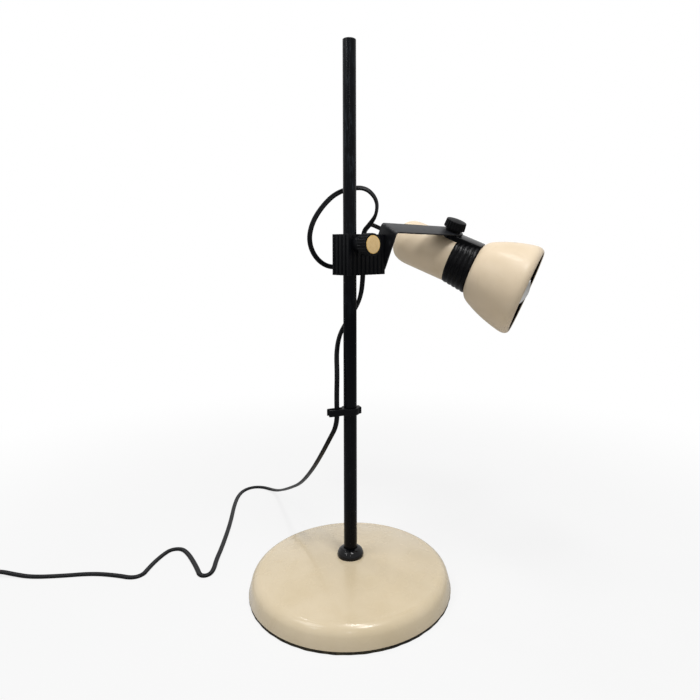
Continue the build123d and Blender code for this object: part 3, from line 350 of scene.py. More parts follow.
CREAM = stove_enamel("foot_enamel", (229, 212, 181), (221, 203, 169), 0.24, 0.35)
CREAM_HEAD = stove_enamel("head_enamel", (222, 204, 177), (214, 195, 166), 0.4, 0.08)
INNER_BLACK = moulding("shade_inner_black", (12, 12, 14), (30, 30, 32), 0.5, 0.8, 0.03, 0.1)
POLE_BLACK = pole_lacquer()
ARM_BLACK = arm_lacquer()
GLOSS_BLACK = moulding("rosette_gloss", (6, 6, 8), (12, 12, 14), 0.0, 3.0, 0.0004, 0.22)
BLOCK_BLACK = moulding("clamp_moulding", (10, 11, 14), (44, 46, 52), 0.34)
KNOB_BLACK = moulding("knob_moulding", (11, 12, 14), (78, 80, 84), 0.38, 0.4)
COLLAR_BLACK = moulding("collar_moulding", (4, 4, 6), (30, 31, 35), 0.16, 0.6, 0.02, 0.1)
CLIP_BLACK = moulding("clip_moulding", (10, 10, 13), (40, 41, 45), 0.3)
HOLDER_BLACK = moulding("holder_bakelite", (18, 15, 13), (50, 45, 40), 0.14, 0.7, 0.02, 0.4)
CORD_BLACK = cord_sheath()
PAD_RUBBER = pad_rubber()
GOLD = gold_foil()
OPAL = opal_glass()
STEEL = metal("zinc_steel", (190, 190, 188), 0.28)
BRASS = metal("turned_brass", (200, 164, 92), 0.22)
ALUMINIUM = metal("cap_aluminium", (205, 206, 208), 0.2)
IRON = cast_iron()
NYLON = natural_nylon()


# ---- surfaces
def columns(*parts):
    """Array whose last axis runs through the parts."""
    return np.stack(parts, axis=-1)


def unit(vectors):
    """Each row divided by its length."""
    return vectors / np.linalg.norm(vectors, axis=1)[:, None]


def left_of(way):
    """Unit vectors square to the plane vectors, on their left."""
    return unit(columns(-way[:, 1], way[:, 0]))


def soften(points, radius, steps=5):
    """Polyline with every inner corner replaced by an arc; radius is one value or one for each corner."""
    points = [np.array(p, float) for p in points]
    radii = radius if isinstance(radius, (list, tuple)) else [radius] * (len(points) - 2)
    line = [points[:1]]
    for before, corner, after, size in zip(points, points[1:], points[2:], radii):
        u, v = before - corner, after - corner
        u_len, v_len = np.linalg.norm(u), np.linalg.norm(v)
        u, v = u / u_len, v / v_len
        bend = math.pi - math.acos(float(np.clip(u @ v, -1, 1)))
        if size <= 0 or bend < 0.02:
            line.append([corner])
            continue
        reach = min(size * math.tan(bend / 2), 0.48 * u_len, 0.48 * v_len)
        centre = corner + (u + v) / np.linalg.norm(u + v) * reach / math.sin(bend / 2)
        t = np.linspace(0, bend, steps + 1)[:, None]
        start, end = corner + u * reach - centre, corner + v * reach - centre
        line.append(centre + (np.sin(bend - t) * start + np.sin(t) * end) / math.sin(bend))
    return np.vstack(line + [points[-1:]])


def soften_loop(line, radius):
    """Closed outline with every corner replaced by an arc."""
    return soften(np.vstack([line[-1:], line, line[:1]]), radius, 3)[1:-1]


def arc(centre, radii, start, end, steps):
    """Points (x, y) on an ellipse's arc between two angles in degrees."""
    t = np.radians(np.linspace(start, end, steps + 1))
    return columns(centre[0] + radii[0] * np.cos(t), centre[1] + radii[1] * np.sin(t))


def through(knots, steps):
    """Catmull-Rom curve through the knots, steps points to each gap."""
    p = np.asarray(knots, float)
    p = np.vstack([2 * p[0] - p[1], p, 2 * p[-1] - p[-2]])
    t = np.linspace(0, 1, steps, endpoint=False)[None, :, None]
    a, b, c, d = (p[k:len(p) - 3 + k, None] for k in range(4))
    curve = 0.5 * (2 * b + (c - a) * t + (2 * a - 5 * b + 4 * c - d) * t**2 + (3 * b - a - 3 * c + d) * t**3)
    return np.vstack([curve.reshape(-1, 2), p[-2:-1]])


def finer(profile, gap):
    """The profile with more points on its straight runs, so that none is longer than gap."""
    line = [profile[:1]]
    for a, b in zip(profile, profile[1:]):
        count = max(1, math.ceil(np.linalg.norm(b - a) / gap))
        line.append(a + (b - a) * np.linspace(0, 1, count + 1)[1:, None])
    return np.vstack(line)


def wall(line, depth):
    """Closed profile of a thin wall: the line, and the line moved depth to its left, back again."""
    moved = line + left_of(np.gradient(line, axis=0)) * depth
    return np.vstack([line, moved[::-1], line[:1]])


def domed(radius, edge, rise, top):
    """Height of a ball's cap at the radius: top in the middle, rise lower where radius is edge."""
    ball = (edge**2 + rise**2) / (2 * rise)
    return top - ball + np.sqrt(ball**2 - np.square(radius))


def grid_faces(rows, across):
    """Quads of a grid numbered row by row whose last column meets its first."""
    low = np.arange(rows - 1)[:, None] * across
    here = np.arange(across)[None, :]
    there = (here + 1) % across
    quads = columns(low + here, low + there, low + across + there, low + across + here)
    return quads.reshape(-1, 4).tolist()


def linked(name, data):
    """Object in the scene with the data."""
    made = bpy.data.objects.new(name, data)
    bpy.context.scene.collection.objects.link(made)
    return made


def dress(piece, sharp):
    """Smooth shading, broken at edges sharper than the given angle."""
    piece.data.shade_smooth()
    piece.data.set_sharp_from_angle(angle=math.radians(sharp))
    return piece


def mesh_piece(name, points, faces, material, where=ROOM, sharp=SHARP):
    """Mesh object at the origin; its points are given in the frame where, and doubles are merged."""
    basis = np.array(where)
    world = (points.reshape(-1, 3) @ basis[:3, :3].T + basis[:3, 3]) * MM
    data = bpy.data.meshes.new(name)
    data.from_pydata(world.tolist(), [], faces)
    merged = bmesh.new()
    merged.from_mesh(data)
    bmesh.ops.remove_doubles(merged, verts=merged.verts, dist=0.002 * MM)
    merged.to_mesh(data)
    merged.free()
    data.materials.append(material)
    return dress(linked(name, data), sharp)


def lathe(name, profile, material, where=ROOM, segments=96, shape=None, sharp=SHARP):
    """Turned surface: (radius, height) of the profile against the angle; shape may change the radius."""
    profile = np.asarray(profile, float)
    after = np.roll(profile, -1, axis=0)
    if (profile[:, 0] * after[:, 1] - after[:, 0] * profile[:, 1]).sum() < 0:
        profile = profile[::-1]
    angle = np.linspace(0, 2 * math.pi, segments, endpoint=False)[None, :]
    radius, height = profile[:, :1] + 0 * angle, profile[:, 1:] + 0 * angle
    if shape:
        radius = shape(angle, radius, height)
    points = columns(radius * np.cos(angle), radius * np.sin(angle), height)
    return mesh_piece(name, points, grid_faces(len(profile), segments), material, where, sharp)


def capped(rows, across):
    """Faces of a tube of rings with a flat cap on each end."""
    last = (rows - 1) * across
    return grid_faces(rows, across) + [list(range(across))[::-1], list(range(last, last + across))]


def prism(name, outline, low, high, edge, material, where=ROOM, steps=3):
    """Upright prism on an anticlockwise outline; at angle t of its rim, a ring is edge (1 - sin t)
    inside the outline and edge (1 - cos t) from the end."""
    inward = left_of(np.roll(outline, -1, axis=0) - np.roll(outline, 1, axis=0))
    t = np.radians(np.linspace(0, 90, steps + 1))
    inset = edge * (1 - np.sin(np.concatenate([t, t[::-1]])))
    height = np.concatenate([low + edge * (1 - np.cos(t)), high - edge * (1 - np.cos(t[::-1]))])
    flat = outline[None] + inward[None] * inset[:, None, None]
    level = np.broadcast_to(height[:, None, None], flat.shape[:2] + (1,))
    points = np.concatenate([flat, level], axis=2)
    return mesh_piece(name, points, capped(len(height), len(outline)), material, where)


def cut(piece, *cutters):
    """Takes the cutters' volumes out of the piece."""
    for cutter in cutters:
        tool = piece.modifiers.new("cut", "BOOLEAN")
        tool.object = cutter
        tool.operation = "DIFFERENCE"
        tool.solver = "EXACT"
        graph = bpy.context.evaluated_depsgraph_get()
        data = bpy.data.meshes.new_from_object(piece.evaluated_get(graph))
        piece.modifiers.clear()
        piece.data = data
        bpy.data.objects.remove(cutter)
    return dress(piece, SHARP)


def rod(radius, low, high, where, segments=96):
    """Round cutter from low to high along the frame's Z."""
    return lathe("cutter", [(0, low), (radius, low), (radius, high), (0, high)], None, where, segments)


def fit(piece, body, slot, *nodes):
    """The piece moves with the body and stands for the nodes; slot is not used."""
    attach(piece, body)
    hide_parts(*nodes)
    return piece


# ---- foot and pole
def crown(radius):
    """Height of the foot's slightly domed top: a ball's cap from the shoulder to the crown."""
    return domed(radius, FOOT_R - FOOT_EDGE_R, FOOT_CROWN - FOOT_SHOULDER, FOOT_CROWN)


def build_foot():
    """Cover: the crown, a round shoulder and a wall leaning in, all one thin wall. Weight: a stepped
    disc. Pad: a disc whose edge wanders."""
    hole, flat, lean, hem = 6.6, FOOT_R - 14.3, 13.7, PAD_T + 0.7
    radius = np.linspace(hole, flat, 40)
    top = columns(radius, crown(radius))
    rim = arc((flat, crown(flat) - FOOT_EDGE_R), (FOOT_EDGE_R, FOOT_EDGE_R), 82, lean, 22)
    line = np.vstack([top, rim, [(FOOT_R, hem + 0.3), (FOOT_R - 0.1, hem), (FOOT_R - 0.9, hem - 0.1)]])
    fit(lathe("foot_cover", wall(line[::-1], 1.1), CREAM, segments=256), "root", "enamel", "base_cover")

    bolt, recess, seat, low, side, high, rim_r = 4.3, 11, 9.8, PAD_T + 0.1, 12, PAD_T + 14, FOOT_R - 4.6
    disc = soften([(bolt, seat), (recess, seat), (recess, low), (rim_r, low), (rim_r, side),
                   (rim_r - 4.5, high), (bolt, high), (bolt, seat)], 0.4, 2)
    fit(lathe("foot_weight", disc, IRON, segments=128), "root", "iron", "base_weight")

    def worn(angle, radius, height):
        """Radius, and past 50 mm a quarter millimetre of a quick sine of the angle times a slow one."""
        return np.where(radius > 50, radius + 0.25 * np.sin(37 * angle) * np.sin(11 * angle + 1), radius)
    edge = FOOT_R - 0.4
    profile = soften([(0, 0), (edge, 0), (edge, hem - 0.15), (0, hem - 0.15)], 0.6)
    fit(lathe("foot_pad", profile, PAD_RUBBER, segments=256, shape=worn), "root", "felt", "base_pad")


def build_pole():
    """Rosette: an ellipse's arc from its lip up to the pole. Tube: a cylinder. Cap: a ball's cap that
    ends in a thin edge over the seam."""
    wide, lip, rise, bore = 14, 1.4, 7.3, POLE_R + 0.02
    seat = crown(wide) + 0.02
    dome = arc((POLE_R + 0.6, seat + lip), (wide - POLE_R - 0.6, rise), 4, 82, 16)
    profile = np.vstack([[(bore, seat), (wide - 0.5, seat), (wide, seat + lip)], dome,
                         [(bore + 0.5, seat + 9), (bore, seat + 8.6), (bore, seat)]])
    fit(lathe("pole_rosette_dome", profile, GLOSS_BLACK, segments=128), "root", "black_gloss", "pole_rosette")
    seam = POLE_TOP - 2
    tube = soften([(0, FOOT_CROWN), (POLE_R, FOOT_CROWN), (POLE_R, seam), (0, seam)], [0.2, 0.25])
    fit(lathe("pole_barrel", tube, POLE_BLACK), "root", "black_satin", "pole_tube")
    radius = np.linspace(0, POLE_R - 0.5, 8)
    dome = columns(radius, domed(radius, POLE_R, 1.2, POLE_TOP))
    cap = np.vstack([dome, [(POLE_R - 0.12, POLE_TOP - 1.35), (POLE_R, POLE_TOP - 1.6), (POLE_R, seam + 0.12),
                            (POLE_R - 1.1, seam + 0.05), (0, seam + 0.05)]])
    fit(lathe("pole_end_cap", cap, CLIP_BLACK), "root", "black_plastic", "pole_cap")


def build_clip():
    """Prism, less the pole's bore, on the outline of a ring with two hooked arms in front and a short
    tab behind."""
    wide, half, slot, reach, height = 9.65, 4.6, 2.5, 25, 7
    start = math.degrees(math.atan2(half, math.sqrt(wide**2 - half**2)))
    upper = arc((0, 0), (wide, wide), start, 150, 12)
    flip = np.array([1, -1])
    tip = np.array([(reach - 1.6, -half), (reach, -half + 1.5), (reach - 0.6, -slot + 0.2),
                    (reach - 2.1, -slot + 0.9), (reach - 3.6, -slot)])
    tab = [(-9.2, 4.4), (-11.5, 3.8), (-11.5, -3.8), (-9.2, -4.4)]
    inner = [(10.2, -slot), (9.3, -slot + 1.2), (9.3, slot - 1.2), (10.2, slot)]
    line = np.vstack([upper, tab, (upper * flip)[::-1], tip, inner, (tip * flip)[::-1]])
    clip = prism("cord_clip_body", soften_loop(line, 0.5), -height / 2, height / 2, 0.5, CLIP_BLACK, CLIP)
    fit(cut(clip, rod(POLE_R + 0.05, -10, 10, CLIP)), "clip", "black_plastic", "cord_clip")


# ---- clamp
RIB_PITCH, GROOVE_WIDTH, GROOVE_DEPTH = 5.8, 2.5, 1.1
FLUTES, FLUTE_DEPTH = 22, 0.85


def ribbed_side(start, end):
    """Corners of one side from start to end, with V-sided grooves cut to the left of the way."""
    start, end = np.array(start, float), np.array(end, float)
    length = np.linalg.norm(end - start)
    way = (end - start) / length
    count = int((length - GROOVE_WIDTH) / RIB_PITCH)
    centre = length / 2 + (np.arange(count) - (count - 1) / 2) * RIB_PITCH
    half, foot = GROOVE_WIDTH / 2, GROOVE_WIDTH / 2 - 0.2
    along = (centre[:, None] + np.array([-half, -foot, foot, half])).reshape(-1, 1)
    depth = np.tile([0, GROOVE_DEPTH, GROOVE_DEPTH, 0], count)[:, None]
    return np.vstack([start[None], start + way * along + np.array([-way[1], way[0]]) * depth])


def build_block():
    """Prism on a grooved outline, less the bores for the pole, the cord and the pad, and a turned boss
    in which the pad's bore steps down to the screw's."""
    half, boss_r, boss_base, pad_r, pad_end = BLOCK_DEPTH / 2, 8.3, 12, 3.9, 14.2
    a, b, c, d = (-BLOCK_NOSE, -half), (BLOCK_TAIL, -half), (BLOCK_TAIL, half), (-BLOCK_NOSE, half)
    edge, ends = 0.35, (300, 400)
    line = soften_loop(np.vstack([ribbed_side(a, b), [b], ribbed_side(c, d), ribbed_side(d, a)]), edge)
    block = prism("clamp_block_body", line, BLOCK_BOTTOM, BLOCK_TOP, edge, BLOCK_BLACK, CLAMP)
    bores = (rod(POLE_R + 0.3, *ends, CLAMP), rod(3.4, *ends, CLAMP @ move(CORD_HOLE_X, 0, 0)),
             rod(pad_r, 5, 12.4, SCREW))
    fit(cut(block, *bores), "block", "black_plastic", "clamp_block")
    boss = soften([(pad_r, boss_base), (boss_r, boss_base), (boss_r, BOSS_END), (SCREW_BORE, BOSS_END),
                   (SCREW_BORE, pad_end), (pad_r, pad_end), (pad_r, boss_base)], [0, 0.5, 0.2, 0, 0])
    fit(lathe("clamp_boss", boss, BLOCK_BLACK, SCREW), "block", "black_plastic", "clamp_block")


def fluted(low, high, inner):
    """Shape of a grip: radius less the flutes' depth times a clipped cosine of the angle, between two
    heights and outside inner."""
    def shape(angle, radius, height):
        wave = (np.maximum(np.cos(FLUTES * angle), -0.25) + 0.25) / 1.25
        return radius - FLUTE_DEPTH * wave * ((height > low) & (height < high) & (radius > inner))
    return shape


def grip(name, line, where, shape, body):
    """Fluted knob turned on the line, 16 segments to a flute; its body and node have one name."""
    fit(lathe(name, line, KNOB_BLACK, where, 16 * FLUTES, shape, 35), body, "black_plastic", body)


def build_clamp_knob():
    """Turned grip with flutes and a shallow dish in its end, and a thin turned disc in the dish."""
    wide, dish, disc_r, floor = 11.5, 9.35, 9.3, KNOB_END - 0.6
    line = soften([(SCREW_BORE, KNOB_START), (wide, KNOB_START), (wide, KNOB_END), (dish, KNOB_END),
                   (dish, floor), (SCREW_BORE, floor)], [0.6, 0.9, 0.15, 0], 4)
    grip("clamp_knob_grip", finer(line, 1), SCREW, fluted(KNOB_START - 1, KNOB_END - 0.45, 8), "clamp_knob")
    low, high = KNOB_END - 0.8, KNOB_END + 0.2
    disc = soften([(0, low), (disc_r, low), (disc_r, high), (0, high)], [0, 0.3])
    fit(lathe("clamp_knob_foil", disc, GOLD, SCREW), "clamp_knob", "gold", "clamp_knob_disc")


def ring(name, inner, outer, low, high, material, where, body, slot, node):
    """Flat washer: a turned rectangle with broken corners."""
    line = soften([(inner, low), (outer, low), (outer, high), (inner, high), (inner, low)], 0.12, 2)
    fit(lathe(name, line, material, where, 72), body, slot, node)


def build_pivot():
    """Two washers, and a bolt's head: a quarter ellipse over a thin disc, with a slit across it."""
    axis, bore = PIVOT @ ALONG_X, 3.1
    inside, seat = LEG_X - ARM_T / 2, LEG_X + ARM_T / 2
    base, wide = seat + 0.6, 5.4
    ring("pivot_washer_ring", bore, 8.4, BLOCK_TAIL, inside, CLIP_BLACK, axis, "block", "black_plastic",
         "pivot_washer")
    ring("pivot_spring", bore, 6.2, seat, base, STEEL, axis, "block", "steel", "pivot_spring_washer")
    dome = arc((0, base + 0.7), (wide, 2.9), 0, 90, 12)
    line = np.vstack([[(0, base), (wide - 0.2, base), (wide, base + 0.2)], dome])
    slit = np.array([(-1, -6), (6, -6), (6, 6), (-1, 6)], float)
    cutter = prism("cutter", slit, -0.65, 0.65, 0.05, None, PIVOT @ move(base + 3.4, 0, 0))
    fit(cut(lathe("pivot_bolt_head", line, STEEL, axis, 72), cutter), "block", "steel", "pivot_bolt")


# ---- arm
def build_arm():
    """Bent strip with round ends. Its middle line at length s runs up the leg, round the bend and along
    the far leg; there the strip's half width is sqrt(half^2 - o^2), o being how far s is past the
    middle of a round end. The section is a rectangle with quarter-round edges."""
    half, edge = ARM_WIDTH / 2, 0.28
    bend = math.radians(90 + ARM_DROOP)
    short = ARM_BEND_R * math.tan(bend / 2)
    leg, round_bend = ARM_LEG - short, ARM_BEND_R * bend
    low, high = half - ARM_END, leg + round_bend + ARM_REACH - short
    end = np.linspace(0, math.pi / 2, 14)
    s = np.concatenate([low - half * np.cos(end), np.linspace(low, leg, 12)[1:],
                        leg + np.linspace(0, round_bend, 12)[1:],
                        np.linspace(leg + round_bend, high, 26)[1:], high + half * np.sin(end)[1:]])
    a = np.clip((s - leg) / ARM_BEND_R, 0, bend)
    past = np.maximum(s - leg - round_bend, 0)
    x = LEG_X + ARM_BEND_R * (1 - np.cos(a)) + past * np.sin(a)
    z = np.minimum(s, leg) + ARM_BEND_R * np.sin(a) + past * np.cos(a)
    width = np.sqrt(np.maximum(half**2 - np.maximum(np.maximum(low - s, s - high), 0) ** 2, 0.02))
    t = np.radians(np.linspace(0, 90, 5))
    corner = columns(1 - edge * (1 - np.cos(t)) / half, ARM_T / 2 - edge * (1 - np.sin(t)))
    quarter = np.vstack([corner, corner[::-1] * (-1, 1), corner * (-1, -1), corner[::-1] * (1, -1)])
    across, rise = quarter[None, :, 0], quarter[None, :, 1]
    points = columns(x[:, None] - np.cos(a)[:, None] * rise, width[:, None] * across,
                     z[:, None] + np.sin(a)[:, None] * rise)
    strip = mesh_piece("arm_strip_bent", points, capped(len(s), len(quarter)), ARM_BLACK, ARM)
    fit(strip, "arm", "black_satin", "arm_strip")


def build_head_knob():
    """Washer and grip; the grip's profile is a ball's cap, a fluted side, a wider lip and a neck."""
    base = ARM_T / 2 + 0.8
    ring("head_washer_ring", 3, 9.2, ARM_T / 2, base, CLIP_BLACK, HINGE, "head_knob_washer",
         "black_plastic", "head_knob_washer")
    wide, lip_r, neck_r, lip, top, rise = 12.2, 12.9, 8.8, base + 2.6, base + 11.9, 1.6
    radius = np.linspace(0, wide - 0.8, 10)
    dome = columns(radius, domed(radius, wide, rise, top + rise))
    side = soften([(wide - 0.4, top + 0.1), (wide, top - 0.5), (lip_r, lip), (neck_r, lip), (neck_r, base),
                   (SCREW_BORE, base)], [0.5, 0.4, 0.4, 0.2], 4)
    line = finer(np.vstack([dome, side, [(SCREW_BORE, base + 4)]]), 1.2)
    grip("head_knob_grip", line, HINGE, fluted(lip + 0.05, top - 0.3, 11.9), "head_knob")


# ---- head
def spun(name, line, material, segments, body, slot, node, **more):
    """Surface turned round the beam's axis; the line's points are (place along the beam, radius)."""
    profile = np.asarray(line, float)[:, ::-1]
    fit(lathe(name, profile, material, BEAM, segments, **more), body, slot, node)


def build_head_body():
    """Straight shell; its rear is cos(t)^p noses long and sin(t)^p radii wide, an ellipse of power 2.8."""
    power = 0.714
    t = np.radians(np.linspace(3.4, 90, 41))
    rear = columns(-BODY_STRAIGHT - BODY_NOSE * np.cos(t) ** power, BODY_R * np.sin(t) ** power)
    line = np.vstack([rear, [(0, BODY_R), (BODY_FRONT, BODY_R)]])
    spun("head_shell", wall(line, -1), CREAM_HEAD, 192, "head", "head_cream", "head_body")


def build_collar():
    """Ribbed ring: crest height goes as 1 - |2t - 1|^3.2 over each rib. The tongue under the arm is
    a slab with a round rear end, cut to the ring's bore."""
    ribs, crest_height = 5, 1.55
    pitch = (COLLAR_FRONT - COLLAR_BACK) / ribs
    cone = (COLLAR_FRONT_R - COLLAR_BACK_R) / (COLLAR_FRONT - COLLAR_BACK)
    t = np.linspace(0.07, 0.93, 15)[None, :]
    x = (np.arange(ribs)[:, None] + t) * pitch
    crest = crest_height * (1 - np.abs(2 * t - 1) ** 3.2)
    radius = COLLAR_BACK_R + cone * x - crest_height + crest
    outer = columns(x + COLLAR_BACK, radius).reshape(-1, 2)
    bore, shade_seat, waist, step, body_end = 27.25, 28.05, 26.2, 21.7, 19.3
    inner = soften([(COLLAR_FRONT, COLLAR_FRONT_R - 1.6), (COLLAR_FRONT, shade_seat), (step, shade_seat),
                    (step, waist), (body_end + 0.1, waist), (body_end, bore), (COLLAR_BACK, bore),
                    (COLLAR_BACK, COLLAR_BACK_R - 1.4)], 0.15, 2)
    spun("head_collar_ring", np.vstack([outer, inner, outer[:1]]), COLLAR_BLACK, 192, "head",
         "black_plastic", "head_collar")
    half, low, top = 11, 20.6, HEAD_DROP - ARM_T / 2 - 0.85
    front = [(COLLAR_FRONT - 0.6, -half), (COLLAR_FRONT, -half + 0.8), (COLLAR_FRONT, half - 0.8),
             (COLLAR_FRONT - 0.6, half)]
    outline = np.vstack([arc((0, 0), (half, half), 90, 270, 20), front])
    tongue = prism("head_collar_tongue", outline, low, top, 0.9, COLLAR_BLACK, HEAD, 4)
    fit(cut(tongue, rod(bore, -20, 60, BEAM, 160)), "head", "black_plastic", "head_collar")


def build_shade():
    """Spun bell, cream outside with a black lining; a curve through knots (place, radius)."""
    knots = [(40.5, 30.4), (42.8, 34.1), (47.3, 38.1), (54.5, 41.7), (63, 45.4), (72.4, 48.7), (82.1, 51.4),
             (90.8, 53.4), (97.6, 54.5), (102.1, 54.1), (105.3, 52.4), (106.7, 50.2), (106.4, 49.1)]
    line = through(knots, 7)
    spun("shade_bell", wall(line, -0.55), CREAM_HEAD, 192, "head", "head_cream", "shade", sharp=60)
    inside = (line - left_of(np.gradient(line, axis=0)) * 0.56)[3:]
    neck = soften([(25.3, 27.9), (41.4, 27.9), inside[0]], 1.5)
    lining = wall(np.vstack([neck[:-1], inside]), -0.6)
    spun("shade_lining", lining, INNER_BLACK, 192, "head", "black_satin", "shade", sharp=60)


def build_bulb():
    """Glass: a ball's arc and a curve down the neck. Cap: turned, with the thread on its side. Tip: a
    soft cone."""
    centre, ball, neck_end, neck_r = 79.2, 30, 26, 12.2
    globe = arc((centre, 0), (ball, ball), 0, 138, 44)
    neck = through([globe[-1], (51.8, 16.9), (45.8, 14.7), (38, 13.2), (30.4, 12.4)], 8)
    glass = np.vstack([globe[:-1], neck, [(28.6, neck_r), (neck_end, neck_r), (neck_end, 0)]])
    spun("bulb_envelope", glass, OPAL, 128, "bulb", "bulb_glass", "bulb_glass")
    back, front, pitch = 2.2, 28, 3.6
    turns = columns(np.linspace(back + 5, back + 20, 61), np.full(61, 12.6))
    rows = np.vstack([[(back, 0), (back, 4.7), (back + 3.6, 10.6), (back + 4.4, 12.3)], turns,
                      [(front - 1.5, 12.7), (front - 1, 13.1), (front, 13), (front, 12.25), (front, 0)]])

    def thread(angle, radius, height):
        """Rolled screw thread: a mean radius and half a millimetre of the sine of the height's turns
        less the angle."""
        wave = 12.65 + 0.5 * np.sin(2 * math.pi * height / pitch - angle)
        return np.where((height > back + 5.2) & (height < back + 19.6), wave, radius)
    spun("bulb_screw_cap", rows, ALUMINIUM, 96, "bulb", "bulb_metal", "bulb_cap", shape=thread, sharp=60)
    tip = soften([(back + 1, 0), (back + 1, 4.6), (back - 1.4, 4.4), (back - 1.6, 2.6), (back - 2.2, 2.4),
                  (back - 2.2, 0)], 0.3, 3)
    spun("bulb_insulator", tip, HOLDER_BLACK, 48, "bulb", "bulb_tip", "bulb_contact")


def build_holder():
    """Turned skirt with a raised band: one closed profile with soft corners."""
    inner_end, back, front, skirt, bore = -3, -10, 33, 19, 14.12
    band = skirt + 0.25
    line = soften([(inner_end, 2), (back, 2), (back, 16), (back + 3, skirt), (10, skirt), (10.2, band),
                   (12.4, band), (12.6, skirt), (front - 6, skirt), (front, skirt - 2), (front, 15.7),
                   (25, 15.5), (25, bore), (inner_end, bore), (inner_end, 2)], 0.4, 3)
    spun("holder_skirt", line, HOLDER_BLACK, 128, "head", "bakelite", "lampholder_shell")


# ---- cord
def head_point(x):
    """Point in the room at place x along the beam."""
    return tuple(HEAD @ Vector((x, 0, 0)))


FLOOR, SWITCH_Z, SWITCH_X = CORD_THICK / 2 + 0.02, 5.5, -398
# corner points of the flat twin flex, from the head's sleeve to the switch
ROUTE = [
    head_point(BODY_REAR - 8), head_point(BODY_REAR - 22.4),
    (19.5, 117, 392.5), (16.3, 95, 388), (11.5, 72, 374.5), (1.5, 53, 358.5),
    (-13.7, 35, 341.2), (-27.2, 20, 343), (-38.3, 8, 354.3), (-43.3, 3, 371.2),
    (-39.6, 4, 389.5), (-29.6, 9, 406.5), (-16.2, 14, 420.5), (0.6, 18.5, 427),
    (17.4, 17.5, 426.8), (28.6, 16, 414), (28, 14.6, 398.6), (21, 13.4, 388),
    (13.25, 12.62, 379.5), (13.75, 13.1, 354.5), (13.25, 12.62, 329.5), (11, 15.4, 311),
    (4.6, 17.6, 296), (-4.8, 17, 283), (-12.2, 11, 269), (-14.6, 2.6, 252),
    (-13.2, -6, 232), (-13.9, -6.3, 205), (-13.2, -6, 178), (-22.5, 0, 159),
    (-33.5, 15, 135.5), (-46.5, 43, 108.5),
    (-65, 90, 74.5), (-86, 143, 46.5), (-106, 196, 20.5),
    (-123, 234, 3.6),
]
# corners of the run on the table
TABLE_RUN = [
    (-146, 252), (-164, 248.5), (-173.5, 230), (-173, 196), (-164, 136), (-159, 78), (-157.8, 48),
    (-155.6, 32), (-156, 20.3), (-161.2, 15.4), (-167.7, 17.4), (-173.5, 28.5), (-183.5, 45), (-195, 62),
    (-206, 73), (-218, 71.5), (-223.5, 60.5), (-227.8, 43), (-229.6, 29), (-230.6, 17.5), (-240, 11.5),
    (-258, 16.5), (-287, 20.5), (-321, 15.5), (-352, 13.4),
]
ROUTE += [(x, y, FLOOR) for x, y in TABLE_RUN]
ROUTE += [(-374, 17, 3), (-387, 17.5, SWITCH_Z), (SWITCH_X, 17.5, SWITCH_Z)]
# each stretch of the flex: its node, the corner whose run it ends on, the body it rides on, the body
# at its far end where a joint lies between, and how it lies
STRETCHES = [
    ("cord_head_run", 2, "head", "arm", "loose"), ("cord_arm_run", 5, "arm", "block", "loose"),
    ("cord_loop", 19, "block", None, "loose"), ("cord_twist", 22, "block", "liner", "hanging"),
    ("cord_drop", 26, "liner", "root", "hanging"), ("cord_lead", 63, "root", None, "loose"),
]
# the way the flex's wide side points at some corners; on the table it lies flat
WIDE_WAYS = {
    0: (0.3, 0.1, 0.95), 2: (0.3, 0.2, 0.95), 5: (0.1, 0.6, 0.8), 7: (0.3, 0.3, 0.9), 9: (1, 0.3, 0),
    11: (0.8, 0.2, -0.7), 13: (0.1, -0.3, -1), 14: (-0.3, -0.6, -0.9), 15: (-0.4, -0.9, -0.4),
    16: (-0.2, -1, 0), 17: (-0.9, -0.5, 0.3), 18: (-1, -0.2, 0), 20: (-1, -0.1, 0),
    21: (-0.8, -0.6, 0), 22: (-0.6, -0.8, 0), 24: (-0.7, -0.7, 0), 26: (-0.91, -0.41, 0),
    28: (-0.91, -0.41, 0), 31: (-0.85, -0.35, -0.2), 63: (-0.85, -0.3, 0),
}
COIL_CENTRE, COIL_R, COIL_Z, COIL_TURNS = (-497, 46.5), 29, 4.5, 3.25
SWITCH_END, PLUG_START, PLUG_Z = SWITCH_X - 60, 84, 7


def spline_points(corners):
    """Points read from a smooth spline with the corners as its control points."""
    curve = bpy.data.curves.new("cord_line", "CURVE")
    curve.dimensions = "3D"
    curve.resolution_u = 16
    spline = curve.splines.new("NURBS")
    spline.points.add(len(corners) - 1)
    flat = np.hstack([np.array(corners) * MM, np.ones((len(corners), 1))])
    spline.points.foreach_set("co", flat.ravel())
    spline.order_u = 3
    spline.use_endpoint_u = True
    holder = linked("cord_line", curve)
    bpy.context.view_layer.update()
    data = bpy.data.meshes.new_from_object(holder)
    line = np.zeros(3 * len(data.vertices), np.float32)
    data.vertices.foreach_get("co", line)
    line = line.reshape(-1, 3).astype(float) / MM
    bpy.data.objects.remove(holder)
    bpy.data.meshes.remove(data)
    steps = np.linalg.norm(np.diff(line, axis=0), axis=1)
    keep = np.concatenate([[True], steps > 0.01])
    return line[keep]


def level_left(way):
    """Level vectors on the left of each way."""
    return columns(-way[:, 1], way[:, 0], 0 * way[:, 0])


def flex_ways(line):
    """The line's own way, and the flex's wide way: WIDE_WAYS interpolated from corner to corner, level
    near the table, and squared to the line."""
    way = unit(np.gradient(line, axis=0))
    corner = np.linspace(0.5, len(ROUTE) - 1.5, len(line))
    given = np.array(list(WIDE_WAYS.values()))
    wide = columns(*(np.interp(corner, list(WIDE_WAYS), given[:, k]) for k in range(3)))
    level = level_left(way)
    low = np.clip((110 - line[:, 2:]) / 80, 0, 1)
    wide = unit(wide) * (1 - low) + level * low
    return way, unit(wide - way * (wide * way).sum(axis=1)[:, None])


